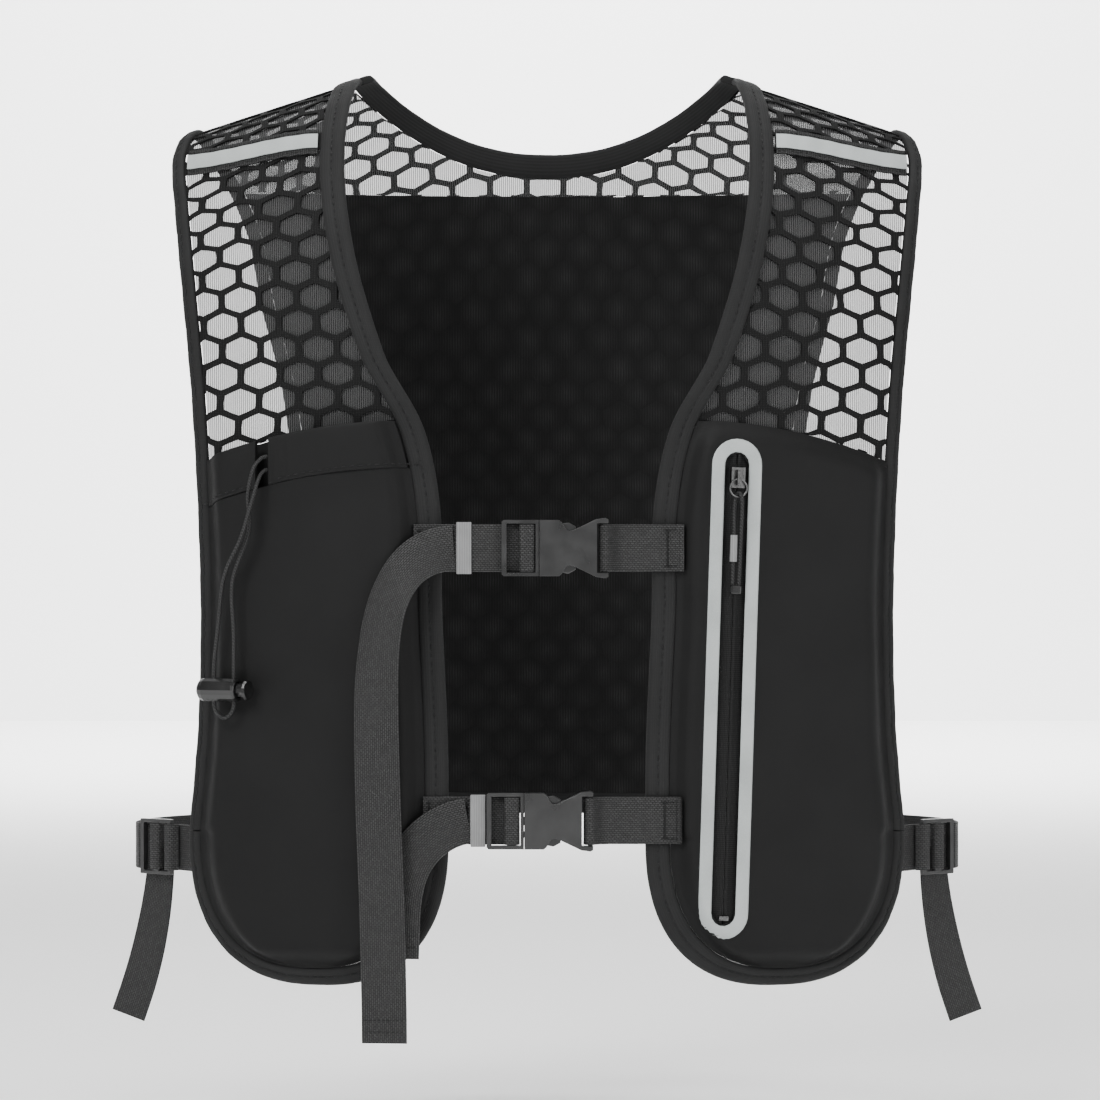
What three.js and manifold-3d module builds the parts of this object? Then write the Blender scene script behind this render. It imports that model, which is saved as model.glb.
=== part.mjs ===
// Light running and utility vest: two mesh fronts with pockets, a mesh back, two chest straps with
// side-release buckles and two side adjusters. Millimetres. +X to the wearer's left, -Y to the front,
// +Z up. The origin is the middle of the wearer's chest, level with the upper chest strap.

import * as THREE from 'three';
import { mergeVertices } from 'three/addons/utils/BufferGeometryUtils.js';
import Module from 'manifold-3d';

const wasm = await Module();
wasm.setup();

// ---- Driving dimensions ----

const gap = 0.3; // clearance between touching pieces
const seam = 0.6; // clearance between a panel and the binding along its curved edge
const torso = { halfWidth: 219, frontDepth: 110, backDepth: 100, roundness: 2.2 };
const shoulder = { armpitZ: 100, neckX: 101, neckZ: 256, slope: 0.333, softness: 40, wrap: 215 };
const cloth = { mesh: 1.5, pocket: 1.2, tape: 0.8, film: 0.4 };
const binding = { neckWidth: 12.8, armWidth: 7, hemWidth: 12, inner: -0.6, outer: 3.6 };
const lobe = { topZ: -150, depth: 80, roundness: 2.45, bottomBand: 9 };
const pocket = { bulge: 8, ramp: 11, mouthZ: 68, mouthDrop: 21, mouthStart: 75, hemDepth: 25, hemThick: 2.6 };
const zip = {
  topX: 100, topZ: 46, bottomX: 92.5, bottomZ: -192, ringPast: 12.5, ringWide: 27, ringBand: 7, chainWide: 3.2,
};
const back = { seamZ: 200, bottomZ: -150, cornerDrop: 26, neckRun: 118.5 };
const webbing = { width: 25, thickness: 1.4 };
const buckle = { height: 29.4, frame: 19.5, body: 36.3, thickness: 8.6, wall: 1.6, prong: 18 };
const upperStrap = { meetX: -4.2, z: 1, keeperX: -47.4, sewnLeft: -70, sewnRight: 72 };
const lowerStrap = { meetX: -12.1, z: -142, keeperX: -40.1, sewnLeft: -65, sewnRight: 70.5 };
const sideStrap = { z: -160, sliderLength: 22, sliderWall: 2.6, tailDrop: 92 };
const tail = { width: 24, thickness: 1.5 };
const drawcord = { diameter: 2, gapX: -146, gapWide: 6.5 };
const lock = { x: -163, z: -74, length: 26, diameter: 13, press: 3, farStrand: -5, nearStrand: 7 };
const keeperRing = { length: 7.8, wall: 0.8 };

// ---- The wearer's surface: x across, s up the front, over the shoulder and down the back ----

const crownS = shoulder.armpitZ + shoulder.wrap;

function spread(x) {
  return Math.hypot(x, shoulder.softness);
}

function crownZ(x) {
  return shoulder.neckZ - shoulder.slope * (spread(x) - spread(shoulder.neckX));
}

function torsoDepth(x, depth) {
  const n = torso.roundness;
  return depth * Math.pow(Math.max(0.02, 1 - Math.pow(Math.abs(x) / torso.halfWidth, n)), 1 / n);
}

function surface(x, s) {
  const onBack = s > crownS;
  const v = onBack ? 2 * crownS - s : s;
  const depth = onBack ? torsoDepth(x, torso.backDepth) : -torsoDepth(x, torso.frontDepth);
  if (v <= shoulder.armpitZ) return new THREE.Vector3(x, depth, v);
  const turn = ((v - shoulder.armpitZ) / shoulder.wrap) * Math.PI / 2;
  const rise = crownZ(x) - shoulder.armpitZ;
  return new THREE.Vector3(x, depth * Math.cos(turn), shoulder.armpitZ + rise * Math.sin(turn));
}

function outward(x, s) {
  const step = 0.5;
  const across = surface(x + step, s).sub(surface(x - step, s));
  const along = surface(x, s + step).sub(surface(x, s - step));
  return across.cross(along).normalize();
}

function lifted(x, s, lift) {
  return surface(x, s).addScaledVector(outward(x, s), lift);
}

// the s value on the back that lies at height z
function backS(x, z) {
  if (z <= shoulder.armpitZ) return 2 * crownS - z;
  const share = Math.min(1, (z - shoulder.armpitZ) / (crownZ(x) - shoulder.armpitZ));
  return 2 * crownS - shoulder.armpitZ - shoulder.wrap * Math.asin(share) * 2 / Math.PI;
}

// ---- Small helpers ----

function lerp(a, b, t) {
  return a + (b - a) * t;
}

function ease(t) {
  const k = Math.min(1, Math.max(0, t));
  return k * k * (3 - 2 * k);
}

// smooth value through knots of [position, value]
function through(knots) {
  const slope = knots.map((knot, i) => {
    const before = knots[Math.max(0, i - 1)];
    const after = knots[Math.min(knots.length - 1, i + 1)];
    return (after[1] - before[1]) / (after[0] - before[0]);
  });
  return (at) => {
    let i = 0;
    while (i < knots.length - 2 && at > knots[i + 1][0]) i += 1;
    const span = knots[i + 1][0] - knots[i][0];
    const t = Math.min(1, Math.max(0, (at - knots[i][0]) / span));
    const t2 = t * t;
    const t3 = t2 * t;
    return (2 * t3 - 3 * t2 + 1) * knots[i][1] + (t3 - 2 * t2 + t) * span * slope[i]
      + (3 * t2 - 2 * t3) * knots[i + 1][1] + (t3 - t2) * span * slope[i + 1];
  };
}

function range(count) {
  return Array.from({ length: count + 1 }, (_, i) => i / count);
}

// ---- Materials ----

const finish = {
  mesh: [0x1d1d1e, 0.85],
  fabric: [0x1e1f20, 0.8],
  binding: [0x2b2d2e, 0.75],
  webbing: [0x2d2b2a, 0.9],
  plastic: [0x34353a, 0.4],
  reflective: [0xaab0ae, 0.45],
  film: [0x9a9b9c, 0.4],
  zip: [0x3a3937, 0.6],
  metal: [0x8a8a88, 0.3],
  cord: [0x2c2e2e, 0.7],
};

const vest = new THREE.Group();

function add(name, geometry, look, parent = vest) {
  const [color, roughness] = finish[look];
  const material = new THREE.MeshStandardMaterial({ color, roughness, metalness: look === 'metal' ? 0.9 : 0 });
  const mesh = new THREE.Mesh(geometry, material);
  mesh.name = name;
  parent.add(mesh);
  return mesh;
}

// ---- Solids ----

function facingOut(geometry) {
  const p = geometry.attributes.position;
  const index = geometry.index.array;
  let volume = 0;
  const [a, b, c] = [new THREE.Vector3(), new THREE.Vector3(), new THREE.Vector3()];
  for (let i = 0; i < index.length; i += 3) {
    a.fromBufferAttribute(p, index[i]);
    b.fromBufferAttribute(p, index[i + 1]);
    c.fromBufferAttribute(p, index[i + 2]);
    volume += a.dot(b.cross(c));
  }
  if (volume < 0) {
    for (let i = 0; i < index.length; i += 3) [index[i], index[i + 1]] = [index[i + 1], index[i]];
  }
  return geometry;
}

// a closed plate between two grids of points of the same size
function plate(outer, inner) {
  const rows = outer.length;
  const columns = outer[0].length;
  const points = [...outer.flat(), ...inner.flat()];
  const index = [];
  const at = (layer, r, c) => layer * rows * columns + r * columns + c;
  const quad = (a, b, c, d) => index.push(a, b, c, a, c, d);
  for (let r = 0; r < rows - 1; r += 1) {
    for (let c = 0; c < columns - 1; c += 1) {
      quad(at(0, r, c), at(0, r, c + 1), at(0, r + 1, c + 1), at(0, r + 1, c));
      quad(at(1, r, c), at(1, r + 1, c), at(1, r + 1, c + 1), at(1, r, c + 1));
    }
  }
  for (let r = 0; r < rows - 1; r += 1) {
    quad(at(0, r, 0), at(0, r + 1, 0), at(1, r + 1, 0), at(1, r, 0));
    quad(at(0, r + 1, columns - 1), at(0, r, columns - 1), at(1, r, columns - 1), at(1, r + 1, columns - 1));
  }
  for (let c = 0; c < columns - 1; c += 1) {
    quad(at(0, 0, c + 1), at(0, 0, c), at(1, 0, c), at(1, 0, c + 1));
    quad(at(0, rows - 1, c), at(0, rows - 1, c + 1), at(1, rows - 1, c + 1), at(1, rows - 1, c));
  }
  const geometry = new THREE.BufferGeometry();
  const positions = points.flatMap((p) => p.toArray());
  geometry.setAttribute('position', new THREE.Float32BufferAttribute(positions, 3));
  geometry.setIndex(index);
  return facingOut(geometry);
}

// cloth on the wearer: map is rows of [x, s, lift]; from and to are its two faces above that lift
function clothPiece(map, from, to) {
  const face = (extra) => map.map((row) => row.map(([x, s, lift = 0]) => lifted(x, s, lift + extra)));
  return plate(face(to), face(from));
}

function solid(geometry) {
  const bare = geometry.clone();
  bare.deleteAttribute('normal');
  bare.deleteAttribute('uv');
  const merged = mergeVertices(bare, 1e-4);
  return new wasm.Manifold(new wasm.Mesh({
    numProp: 3,
    vertProperties: new Float32Array(merged.attributes.position.array),
    triVerts: new Uint32Array(merged.index.array),
  }));
}

function shown(manifold) {
  const mesh = manifold.getMesh();
  const geometry = new THREE.BufferGeometry();
  geometry.setAttribute('position', new THREE.Float32BufferAttribute(mesh.vertProperties, 3));
  geometry.setIndex(Array.from(mesh.triVerts));
  return geometry;
}

// a box between two corners
function block(low, high) {
  const geometry = new THREE.BoxGeometry(high[0] - low[0], high[1] - low[1], high[2] - low[2]);
  return geometry.translate((low[0] + high[0]) / 2, (low[1] + high[1]) / 2, (low[2] + high[2]) / 2);
}

// an outline in x and z, given a thickness outwards from a plane
function frontPlate(outline, rearOut, frontOut) {
  const shape = new THREE.Shape(outline.map(([x, z]) => new THREE.Vector2(x, z)));
  const geometry = new THREE.ExtrudeGeometry(shape, { depth: frontOut - rearOut, bevelEnabled: false });
  return geometry.rotateX(Math.PI / 2).translate(0, -rearOut, 0);
}

// webbing seen from above: a strip along a path of [x, y] with upright edges
function uprightStrip(path, thickness, lowZ, highZ) {
  const points = path.map(([x, y]) => new THREE.Vector2(x, y));
  const sides = points.map((point, i) => {
    const before = points[Math.max(0, i - 1)];
    const after = points[Math.min(points.length - 1, i + 1)];
    const ways = [];
    if (i > 0) ways.push(point.clone().sub(before).normalize());
    if (i < points.length - 1) ways.push(after.clone().sub(point).normalize());
    const way = ways.reduce((sum, one) => sum.add(one), new THREE.Vector2()).normalize();
    const reach = thickness / 2 / Math.max(0.5, way.dot(ways[0]));
    const normal = new THREE.Vector2(-way.y, way.x).multiplyScalar(reach);
    return [point.clone().add(normal), point.clone().sub(normal)];
  });
  const outline = [...sides.map((side) => side[0]), ...sides.map((side) => side[1]).reverse()];
  const depth = highZ - lowZ;
  const shape = new THREE.Shape(outline);
  return new THREE.ExtrudeGeometry(shape, { depth, bevelEnabled: false }).translate(0, 0, lowZ);
}

function arc(cx, cy, radius, from, to, steps) {
  return range(steps).map((t) => {
    const angle = lerp(from, to, t) * Math.PI / 180;
    return [cx + radius * Math.cos(angle), cy + radius * Math.sin(angle)];
  });
}

// a webbing ribbon along stations of { at, side }: side is the unit vector across its width
function ribbon(stations, width, thickness) {
  const face = (way) => stations.map(({ at, side }, i) => {
    const before = stations[Math.max(0, i - 1)].at;
    const after = stations[Math.min(stations.length - 1, i + 1)].at;
    const normal = after.clone().sub(before).cross(side).normalize();
    const centre = at.clone().addScaledVector(normal, way * thickness / 2);
    return [-0.5, 0.5].map((k) => centre.clone().addScaledVector(side, k * width));
  });
  return plate(face(1), face(-1));
}

// a round cord along a curve
function cordTube(points, diameter, steps, sides = 8) {
  const curve = new THREE.CatmullRomCurve3(points.map((p) => new THREE.Vector3(...p)));
  const section = new THREE.Shape(range(sides - 1).map((_, i) => {
    const angle = i / sides * Math.PI * 2;
    return new THREE.Vector2(Math.cos(angle) * diameter / 2, Math.sin(angle) * diameter / 2);
  }));
  return new THREE.ExtrudeGeometry(section, { steps, extrudePath: curve, bevelEnabled: false });
}

// ---- Outlines on the wearer (drawn for the +X side, mirrored by a sign of -1) ----

const neckEdge = through([
  [-150, 51.5], [-100, 52], [-30, 55], [22, 56], [65, 65], [104, 86], [156, 102.6], [215, 108],
  [crownS, shoulder.neckX],
]);
const armEdge = through([
  [-150, 190.5], [-90, 185.5], [-20, 184.5], [76, 189], [195, 199.8], [255, 203], [crownS, 196],
  [375, 187], [451, 167], [491, 161], [542, 149], [610, 142], [690, 144], [750, 158], [810, 172],
]);

function mouth(x) {
  const past = Math.max(0, Math.abs(x) - pocket.mouthStart) / 106;
  return pocket.mouthZ - pocket.mouthDrop * past * past;
}

const lobeLeft = neckEdge(lobe.topZ);
const lobeRight = armEdge(lobe.topZ);
const lobeInside = {
  left: lobeLeft + binding.neckWidth,
  right: lobeRight - binding.armWidth,
  depth: lobe.depth - lobe.bottomBand,
};

// half the width of a rounded lobe at a share of its depth, as a share of its full half width
function lobeShare(depthShare) {
  return Math.pow(1 - Math.pow(depthShare, lobe.roundness), 1 / lobe.roundness);
}

// a front panel's two edges inside its bindings at height v, and how full the pocket is there
function panelEdges(v) {
  if (v >= lobe.topZ) return [neckEdge(v) + binding.neckWidth + seam, armEdge(v) - binding.armWidth - seam];
  const middle = (lobeInside.left + lobeInside.right) / 2;
  const half = (lobeInside.right - lobeInside.left) / 2;
  const share = lobeShare(Math.min(0.995, (lobe.topZ - v) / lobeInside.depth));
  return [middle - half * share + 4 * seam, middle + half * share - 4 * seam];
}

function fullness(x, v, closedTop) {
  const [left, right] = panelEdges(v);
  const sides = ease((Math.abs(x) - left) / pocket.ramp) * ease((right - Math.abs(x)) / pocket.ramp);
  const bottom = ease((v - lobe.topZ + lobeInside.depth) / pocket.ramp);
  const top = closedTop ? ease((mouth(x) - v) / pocket.ramp) : 1;
  return pocket.bulge * sides * bottom * top;
}

const lobeRows = [0.995, 0.96, 0.9, 0.78, 0.6, 0.33].map((share) => lobe.topZ - share * lobeInside.depth);
const acrossPocket = [0, 0.06, 0.125, 0.25, 0.4, 0.55, 0.7, 0.875, 0.94, 1];

// rows of a pocket layer from one height to another below the mouth line
function pocketMap(sign, heights, drop, bulging, closedTop) {
  return heights.map((height) => acrossPocket.map((c) => {
    const settled = ease((height + 40) / (pocket.mouthZ + 40));
    const v = height - settled * (pocket.mouthZ - mouth(lerp(...panelEdges(height), c)) + drop);
    const x = lerp(...panelEdges(v), c);
    return [sign * x, v, bulging ? fullness(x, v, closedTop) : 0];
  }));
}

function heights(from, to, steps) {
  return range(steps).map((t) => lerp(from, to, t));
}

// ---- Fronts: mesh, pocket back, pocket front, bindings and shoulder tapes ----

const frontLift = cloth.mesh + gap;

function frontMesh(sign) {
  const map = range(16).map((r) => range(5).map((c) => {
    const guess = lerp(...panelEdges(lerp(pocket.mouthZ, crownS, r)), c);
    const s = lerp(mouth(guess) + gap, crownS - gap, r);
    return [sign * lerp(...panelEdges(s), c), s];
  }));
  return clothPiece(map, 0, cloth.mesh);
}

function pocketBack(sign) {
  const rows = [...lobeRows, ...heights(lobe.topZ, pocket.mouthZ, 6)];
  return clothPiece(pocketMap(sign, rows, gap, false, false), 0, cloth.mesh);
}

// edge binding from the bottom of the lobe up the inner edge to the shoulder
function frontBinding(sign) {
  const middle = (lobeLeft + lobeRight) / 2;
  const half = (lobeRight - lobeLeft) / 2;
  const insideMiddle = (lobeInside.left + lobeInside.right) / 2;
  const insideHalf = (lobeInside.right - lobeInside.left) / 2;
  const power = 2 / lobe.roundness;
  const round = (centre, reach, depth, angle) => {
    const [c, s] = [Math.cos(angle), Math.sin(angle)];
    const x = centre + reach * Math.sign(c) * Math.pow(Math.abs(c), power);
    return [sign * x, lobe.topZ - depth * Math.pow(s, power)];
  };
  const bottom = range(30).map((t) => {
    const angle = lerp(0.002, Math.PI, t);
    return [round(middle, half, lobe.depth, angle), round(insideMiddle, insideHalf, lobeInside.depth, angle)];
  });
  const edge = heights(lobe.topZ, crownS - gap, 32).slice(1).map((s) => [
    [sign * neckEdge(s), s],
    [sign * (neckEdge(s) + binding.neckWidth), s],
  ]);
  return clothPiece([...bottom, ...edge], binding.inner, binding.outer);
}

// armhole binding up the front, over the shoulder and down the back
function armBinding(sign) {
  const lowest = 2 * crownS - back.bottomZ + back.cornerDrop;
  const map = heights(lobe.topZ + gap, lowest, 56).map((s) => [
    [sign * (armEdge(s) - binding.armWidth), s],
    [sign * armEdge(s), s],
  ]);
  return clothPiece(map, binding.inner, binding.outer);
}

// a tape across the shoulder, level with height z at its neck end and lower at its arm end
function shoulderTape(sign, height, from, to) {
  const map = range(8).map((t) => {
    const middle = lerp(217.5, 208.5, ease(t));
    const [left, right] = panelEdges(215);
    const x = lerp(left + seam, right - seam, t);
    const sAt = (z) => 2 * crownS - backS(x, z);
    return [[sign * x, sAt(middle - height / 2)], [sign * x, sAt(middle + height / 2)]];
  });
  return clothPiece(map, from, to);
}

for (const [side, sign] of [['left', -1], ['right', 1]]) {
  add(`${side}_front_mesh`, frontMesh(sign), 'mesh');
  add(`${side}_pocket_back`, pocketBack(sign), 'fabric');
  add(`${side}_front_binding`, frontBinding(sign), 'binding');
  add(`${side}_armhole_binding`, armBinding(sign), 'binding');
  const tapeLift = frontLift + gap;
  const tapeTop = tapeLift + cloth.tape + gap;
  add(`${side}_shoulder_tape`, shoulderTape(sign, 13.5, tapeLift, tapeLift + cloth.tape), 'webbing');
  add(`${side}_shoulder_reflector`, shoulderTape(sign, 7.6, tapeTop, tapeTop + cloth.film), 'reflective');
}

// ---- Open pocket with its drawcord hem ----

const hemRow = pocket.mouthZ - pocket.hemDepth;

function hem(fromX, toX) {
  const map = [pocket.hemDepth - gap, pocket.hemDepth / 2, 0].map((below) => range(6).map((t) => {
    const right = panelEdges(mouth(toX) - below)[1];
    const first = Math.max(fromX, panelEdges(mouth(fromX) - below)[0] + gap);
    const x = lerp(first, Math.min(toX, right - gap), t);
    const v = mouth(x) - below;
    return [-x, v, fullness(x, v, false)];
  }));
  return clothPiece(map, frontLift, frontLift + pocket.hemThick);
}

const hemInner = -drawcord.gapX - drawcord.gapWide / 2;
const hemOuter = -drawcord.gapX + drawcord.gapWide / 2;
const leftRows = [...lobeRows, ...heights(lobe.topZ, hemRow, 6)];
const leftFront = leftRows.map((height) => acrossPocket.map((c) => {
  const settled = ease((height + 60) / (hemRow + 60));
  const v = height - settled * (pocket.mouthZ - mouth(lerp(...panelEdges(height), c)));
  const x = lerp(...panelEdges(v), c);
  return [-x, v, fullness(x, v, false)];
}));
add('left_pocket_front', clothPiece(leftFront, frontLift, frontLift + cloth.pocket), 'fabric');
add('left_pocket_hem_inner', hem(lobeInside.left, hemInner), 'fabric');
add('left_pocket_hem_outer', hem(hemOuter, lobeInside.right), 'fabric');

// ---- Zip pocket ----

// the zip's own frame: +Z runs up the chain, -Y faces out, the origin is at the zip's top
const zipLift = frontLift + pocket.bulge;
const zipEnd = (x, z) => lifted(2 * x - lifted(x, z, zipLift).x, z, zipLift);
const zipTop = zipEnd(zip.topX, zip.topZ);
const zipBottom = zipEnd(zip.bottomX, zip.bottomZ);
const zipLength = zipTop.distanceTo(zipBottom);
const zipUp = zipTop.clone().sub(zipBottom).normalize();
const zipOut = outward((zip.topX + zip.bottomX) / 2, 0);
zipOut.addScaledVector(zipUp, -zipOut.dot(zipUp)).normalize();
const zipAcross = zipUp.clone().cross(zipOut);
const zipFrame = new THREE.Group();
zipFrame.position.copy(zipTop);
zipFrame.quaternion.setFromRotationMatrix(
  new THREE.Matrix4().makeBasis(zipAcross, zipOut.clone().negate(), zipUp),
);
zipFrame.updateMatrix();
vest.add(zipFrame);

// a long oblong round the zip in the zip's own x and z
function oblong(half, low, high) {
  const end = (z, from) => range(8).map((t) => {
    const a = Math.PI * (from + t);
    return [half * Math.cos(a), z + half * Math.sin(a)];
  });
  return [...end(high - half, 0), ...end(low + half, 1)];
}

// a prism square to the zip, and what it holds of a layer that follows the zip pocket's front
const rightRows = [...lobeRows, ...heights(lobe.topZ, pocket.mouthZ - 16, 5), pocket.mouthZ - 8, pocket.mouthZ];
const rightFront = pocketMap(1, rightRows, 0, true, true);

function zipPrism(outline) {
  return solid(frontPlate(outline, -40, 40).applyMatrix4(zipFrame.matrix));
}

function zipLayer(from, to, outline) {
  return solid(clothPiece(rightFront, from, to)).intersect(zipPrism(outline));
}

const slotHalf = zip.ringWide / 2 - zip.ringBand;
const ringLow = -zipLength - zip.ringPast;
const slotLow = ringLow + zip.ringBand;
const slotHigh = zip.ringPast - zip.ringBand;
const slot = oblong(slotHalf, slotLow, slotHigh);
const slotRoom = oblong(slotHalf + gap, slotLow - gap, slotHigh + gap);
const zipFront = solid(clothPiece(rightFront, frontLift, frontLift + cloth.pocket)).subtract(zipPrism(slot));
add('right_pocket_front', shown(zipFront), 'fabric');
const filmLow = frontLift + cloth.pocket + gap;
const ring = zipLayer(filmLow, filmLow + cloth.film, oblong(zip.ringWide / 2, ringLow, zip.ringPast))
  .subtract(zipPrism(slotRoom));
add('zip_reflector', shown(ring), 'reflective');

// two zip tapes behind the slot, either side of the chain
const chainHalf = zip.chainWide / 2;
const tape = { wide: 9.5, thick: 0.8, over: 5 };
for (const [name, sign] of [['inner', -1], ['outer', 1]]) {
  const [near, far] = [sign * (chainHalf + gap), sign * tape.wide];
  const [low, high] = [ringLow + tape.over, zip.ringPast - tape.over];
  const outline = [[near, low], [far, low], [far, high], [near, high]];
  const layer = zipLayer(frontLift - gap - tape.thick, frontLift - gap, sign < 0 ? outline.reverse() : outline);
  add(`zip_tape_${name}`, shown(layer), 'zip');
}

const chain = { front: -1.7, back: 1.2 };
const slider = { wide: 7.4, long: 11, front: -4.0, at: -8 };
add('zip_chain', block([-chainHalf, chain.front, -zipLength], [chainHalf, chain.back, -1]), 'zip', zipFrame);
const stop = { half: 2.6, front: -2.2 };
const stopSolid = block([-stop.half, stop.front, -zipLength - stop.half], [stop.half, -gap, -zipLength - gap]);
add('zip_bottom_stop', stopSolid, 'metal', zipFrame);

// the slider straddles the chain and has a bridge for the pull
const sliderTop = slider.at + slider.long / 2;
const sliderLow = slider.at - slider.long / 2;
const roof = chain.front - gap;
const sliderBody = solid(block([-slider.wide / 2, slider.front, sliderLow], [slider.wide / 2, -gap, sliderTop]))
  .subtract(solid(block([-chainHalf - gap, roof, sliderLow - 1], [chainHalf + gap, 1, sliderTop + 1])))
  .add(solid(block([-1.1, -7.2, slider.at - 4], [1.1, slider.front + 0.2, slider.at + 4])))
  .subtract(solid(block([-2, -6.2, slider.at - 3], [2, slider.front, slider.at + 3])));
add('zip_slider', shown(sliderBody), 'metal', zipFrame);

// pull ring through the bridge, hanging down, with a doubled cord and a sleeve on it
const pull = { ringRadius: 4.6, wire: 1.1, cord: 2, length: 46, sleeve: 14 };
const pullHinge = { y: -5.1, z: slider.at - 1 };
const ringGeometry = new THREE.TorusGeometry(pull.ringRadius, pull.wire / 2, 6, 16).rotateX(Math.PI / 2)
  .translate(0, pullHinge.y, pullHinge.z - pull.ringRadius);
add('zip_pull_ring', ringGeometry, 'metal', zipFrame);
const cordTop = pullHinge.z - 2 * pull.ringRadius;
const cordY = pullHinge.y;
const pullRoute = [
  [-1.6, cordY + 0.2, cordTop - pull.length], [-1.7, cordY, cordTop - 34], [-1.6, cordY + 0.2, cordTop - 20],
  [-1.6, cordY + 1.2, cordTop - 9], [-1.3, cordY + 1.9, cordTop - 3], [-0.9, cordY + 2, cordTop],
  [-0.3, cordY + 1.4, cordTop + 1.7], [0.2, cordY, cordTop + 2.2], [0.7, cordY - 1.4, cordTop + 1.7],
  [1.2, cordY - 2, cordTop], [1.7, cordY - 1.9, cordTop - 3], [1.9, cordY - 1.2, cordTop - 9],
  [2, cordY - 0.2, cordTop - 20], [1.9, cordY, cordTop - 34], [1.7, cordY + 0.2, cordTop - pull.length],
];
add('zip_pull_cord', cordTube(pullRoute, pull.cord, 40), 'cord', zipFrame);
const sleeveShape = new THREE.Shape().absarc(0, 0, 1.9, 0, Math.PI * 2);
sleeveShape.holes = [new THREE.Path().absarc(0, 0, 1.35, 0, Math.PI * 2)];
const sleeveDepth = { depth: pull.sleeve, bevelEnabled: false, curveSegments: 10 };
const sleeveGeometry = new THREE.ExtrudeGeometry(sleeveShape, sleeveDepth)
  .translate(-1.65, cordY, cordTop - 34);
add('zip_pull_sleeve', sleeveGeometry, 'reflective', zipFrame);
const endTop = cordTop - pull.length - gap;
const pullEnd = block([-2.8, cordY - 1.6, endTop - 4.7], [2.8, cordY + 1.6, endTop]);
add('zip_pull_end', pullEnd, 'cord', zipFrame);

// ---- Drawcord and its lock ----

function hemEnd(x, below) {
  const v = mouth(x) - below;
  return lifted(-x, v, frontLift + fullness(x, v, false) + pocket.hemThick / 2);
}

// the lock lies along the pocket: its own +X points to the wearer's middle
const lockOut = frontLift + cloth.pocket + pocket.bulge + lock.diameter / 2 + 1;
const lockPlace = lifted(lock.x, lock.z, lockOut);
const lockAlong = surface(lock.x + 8, lock.z).sub(surface(lock.x - 8, lock.z)).normalize();
const strandAt = (along) => lockPlace.clone().addScaledVector(lockAlong, along);
const [far, near] = [strandAt(lock.farStrand), strandAt(lock.nearStrand)];
const exitHigh = hemEnd(hemInner, 10);
const exitLow = hemEnd(hemInner, 17);
const lockTop = lock.z + lock.diameter / 2;
const lockLow = lock.z - lock.diameter / 2;
const startX = exitHigh.x - 1.2;
const drawcordRoute = [
  [startX, exitHigh.y, exitHigh.z], [startX - 3, exitHigh.y - 2.6, exitHigh.z - 1.2],
  [startX - 7, exitHigh.y - 4.8, exitHigh.z - 7], [startX - 9.6, exitHigh.y - 4.6, exitHigh.z - 20],
  [startX - 9.4, exitHigh.y - 4.4, exitHigh.z - 40], [near.x - 0.6, near.y - 1.2, exitHigh.z - 66],
  [near.x, near.y, lockTop + 24], [near.x, near.y, lockTop + 8],
  [near.x, near.y, lock.z], [near.x, near.y, lockLow - 2],
  [lerp(near.x, far.x, 0.16), lerp(near.y, far.y, 0.16), lockLow - 6],
  [lerp(near.x, far.x, 0.5), lerp(near.y, far.y, 0.5), lockLow - 8.4],
  [lerp(near.x, far.x, 0.84), lerp(near.y, far.y, 0.84), lockLow - 6],
  [far.x, far.y, lockLow - 2], [far.x, far.y, lock.z], [far.x, far.y, lockTop + 8],
  [far.x + 1.8, far.y - 1.4, lockTop + 24], [far.x + 5.4, far.y - 4.6, exitHigh.z - 64],
  [startX - 13.6, exitHigh.y - 7.4, exitHigh.z - 44], [startX - 8.6, exitHigh.y - 8, exitHigh.z - 28],
  [startX - 4.4, exitLow.y - 5, exitLow.z - 6], [startX - 2, exitLow.y - 2.2, exitLow.z - 1.2],
  [startX, exitLow.y, exitLow.z],
];
add('drawcord', cordTube(drawcordRoute, drawcord.diameter, 74), 'cord');

// barrel lock: a round-ended barrel along X, a spring and a plunger that presses in
const lockFrame = new THREE.Group();
lockFrame.position.copy(lockPlace);
lockFrame.rotation.z = Math.atan2(lockAlong.y, lockAlong.x);
vest.add(lockFrame);
const alongX = (geometry) => geometry.rotateZ(-Math.PI / 2);
const barrelLeft = -lock.length / 2 - 2;
const barrelRight = lock.length / 2 - 3;
const bore = 4.2;
const cavityLeft = barrelLeft + 2.5;
const barrelProfile = [
  [0, barrelLeft], [3.4, barrelLeft + 0.5], [5.7, barrelLeft + 2.4], [lock.diameter / 2, barrelLeft + 5],
  [lock.diameter / 2, barrelRight - 1], [lock.diameter / 2 - 1, barrelRight], [bore, barrelRight],
  [bore, cavityLeft], [0, cavityLeft],
].map(([r, x]) => new THREE.Vector2(r, x));
const cordHole = drawcord.diameter / 2 + gap + 0.1;
let barrel = solid(alongX(new THREE.LatheGeometry(barrelProfile, 16)));
const plungerLow = lock.farStrand - cordHole - 0.9;
const plungerHigh = lock.length / 2 + 2;
let plunger = solid(alongX(new THREE.CylinderGeometry(bore - gap, bore - gap, plungerHigh - plungerLow, 14)
  .translate(0, (plungerHigh + plungerLow) / 2, 0)))
  .add(solid(alongX(new THREE.CylinderGeometry(5, 5.6, 1.6, 14).translate(0, plungerHigh + 0.6, 0))));
for (const x of [lock.farStrand, lock.nearStrand]) {
  const hole = new THREE.CylinderGeometry(cordHole, cordHole, 20, 8).rotateX(Math.PI / 2).translate(x, 0, 0);
  barrel = barrel.subtract(solid(hole));
  const slide = block([x - cordHole, -cordHole, -20], [x + cordHole + lock.press, cordHole, 20]);
  plunger = plunger.subtract(solid(slide));
}
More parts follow.
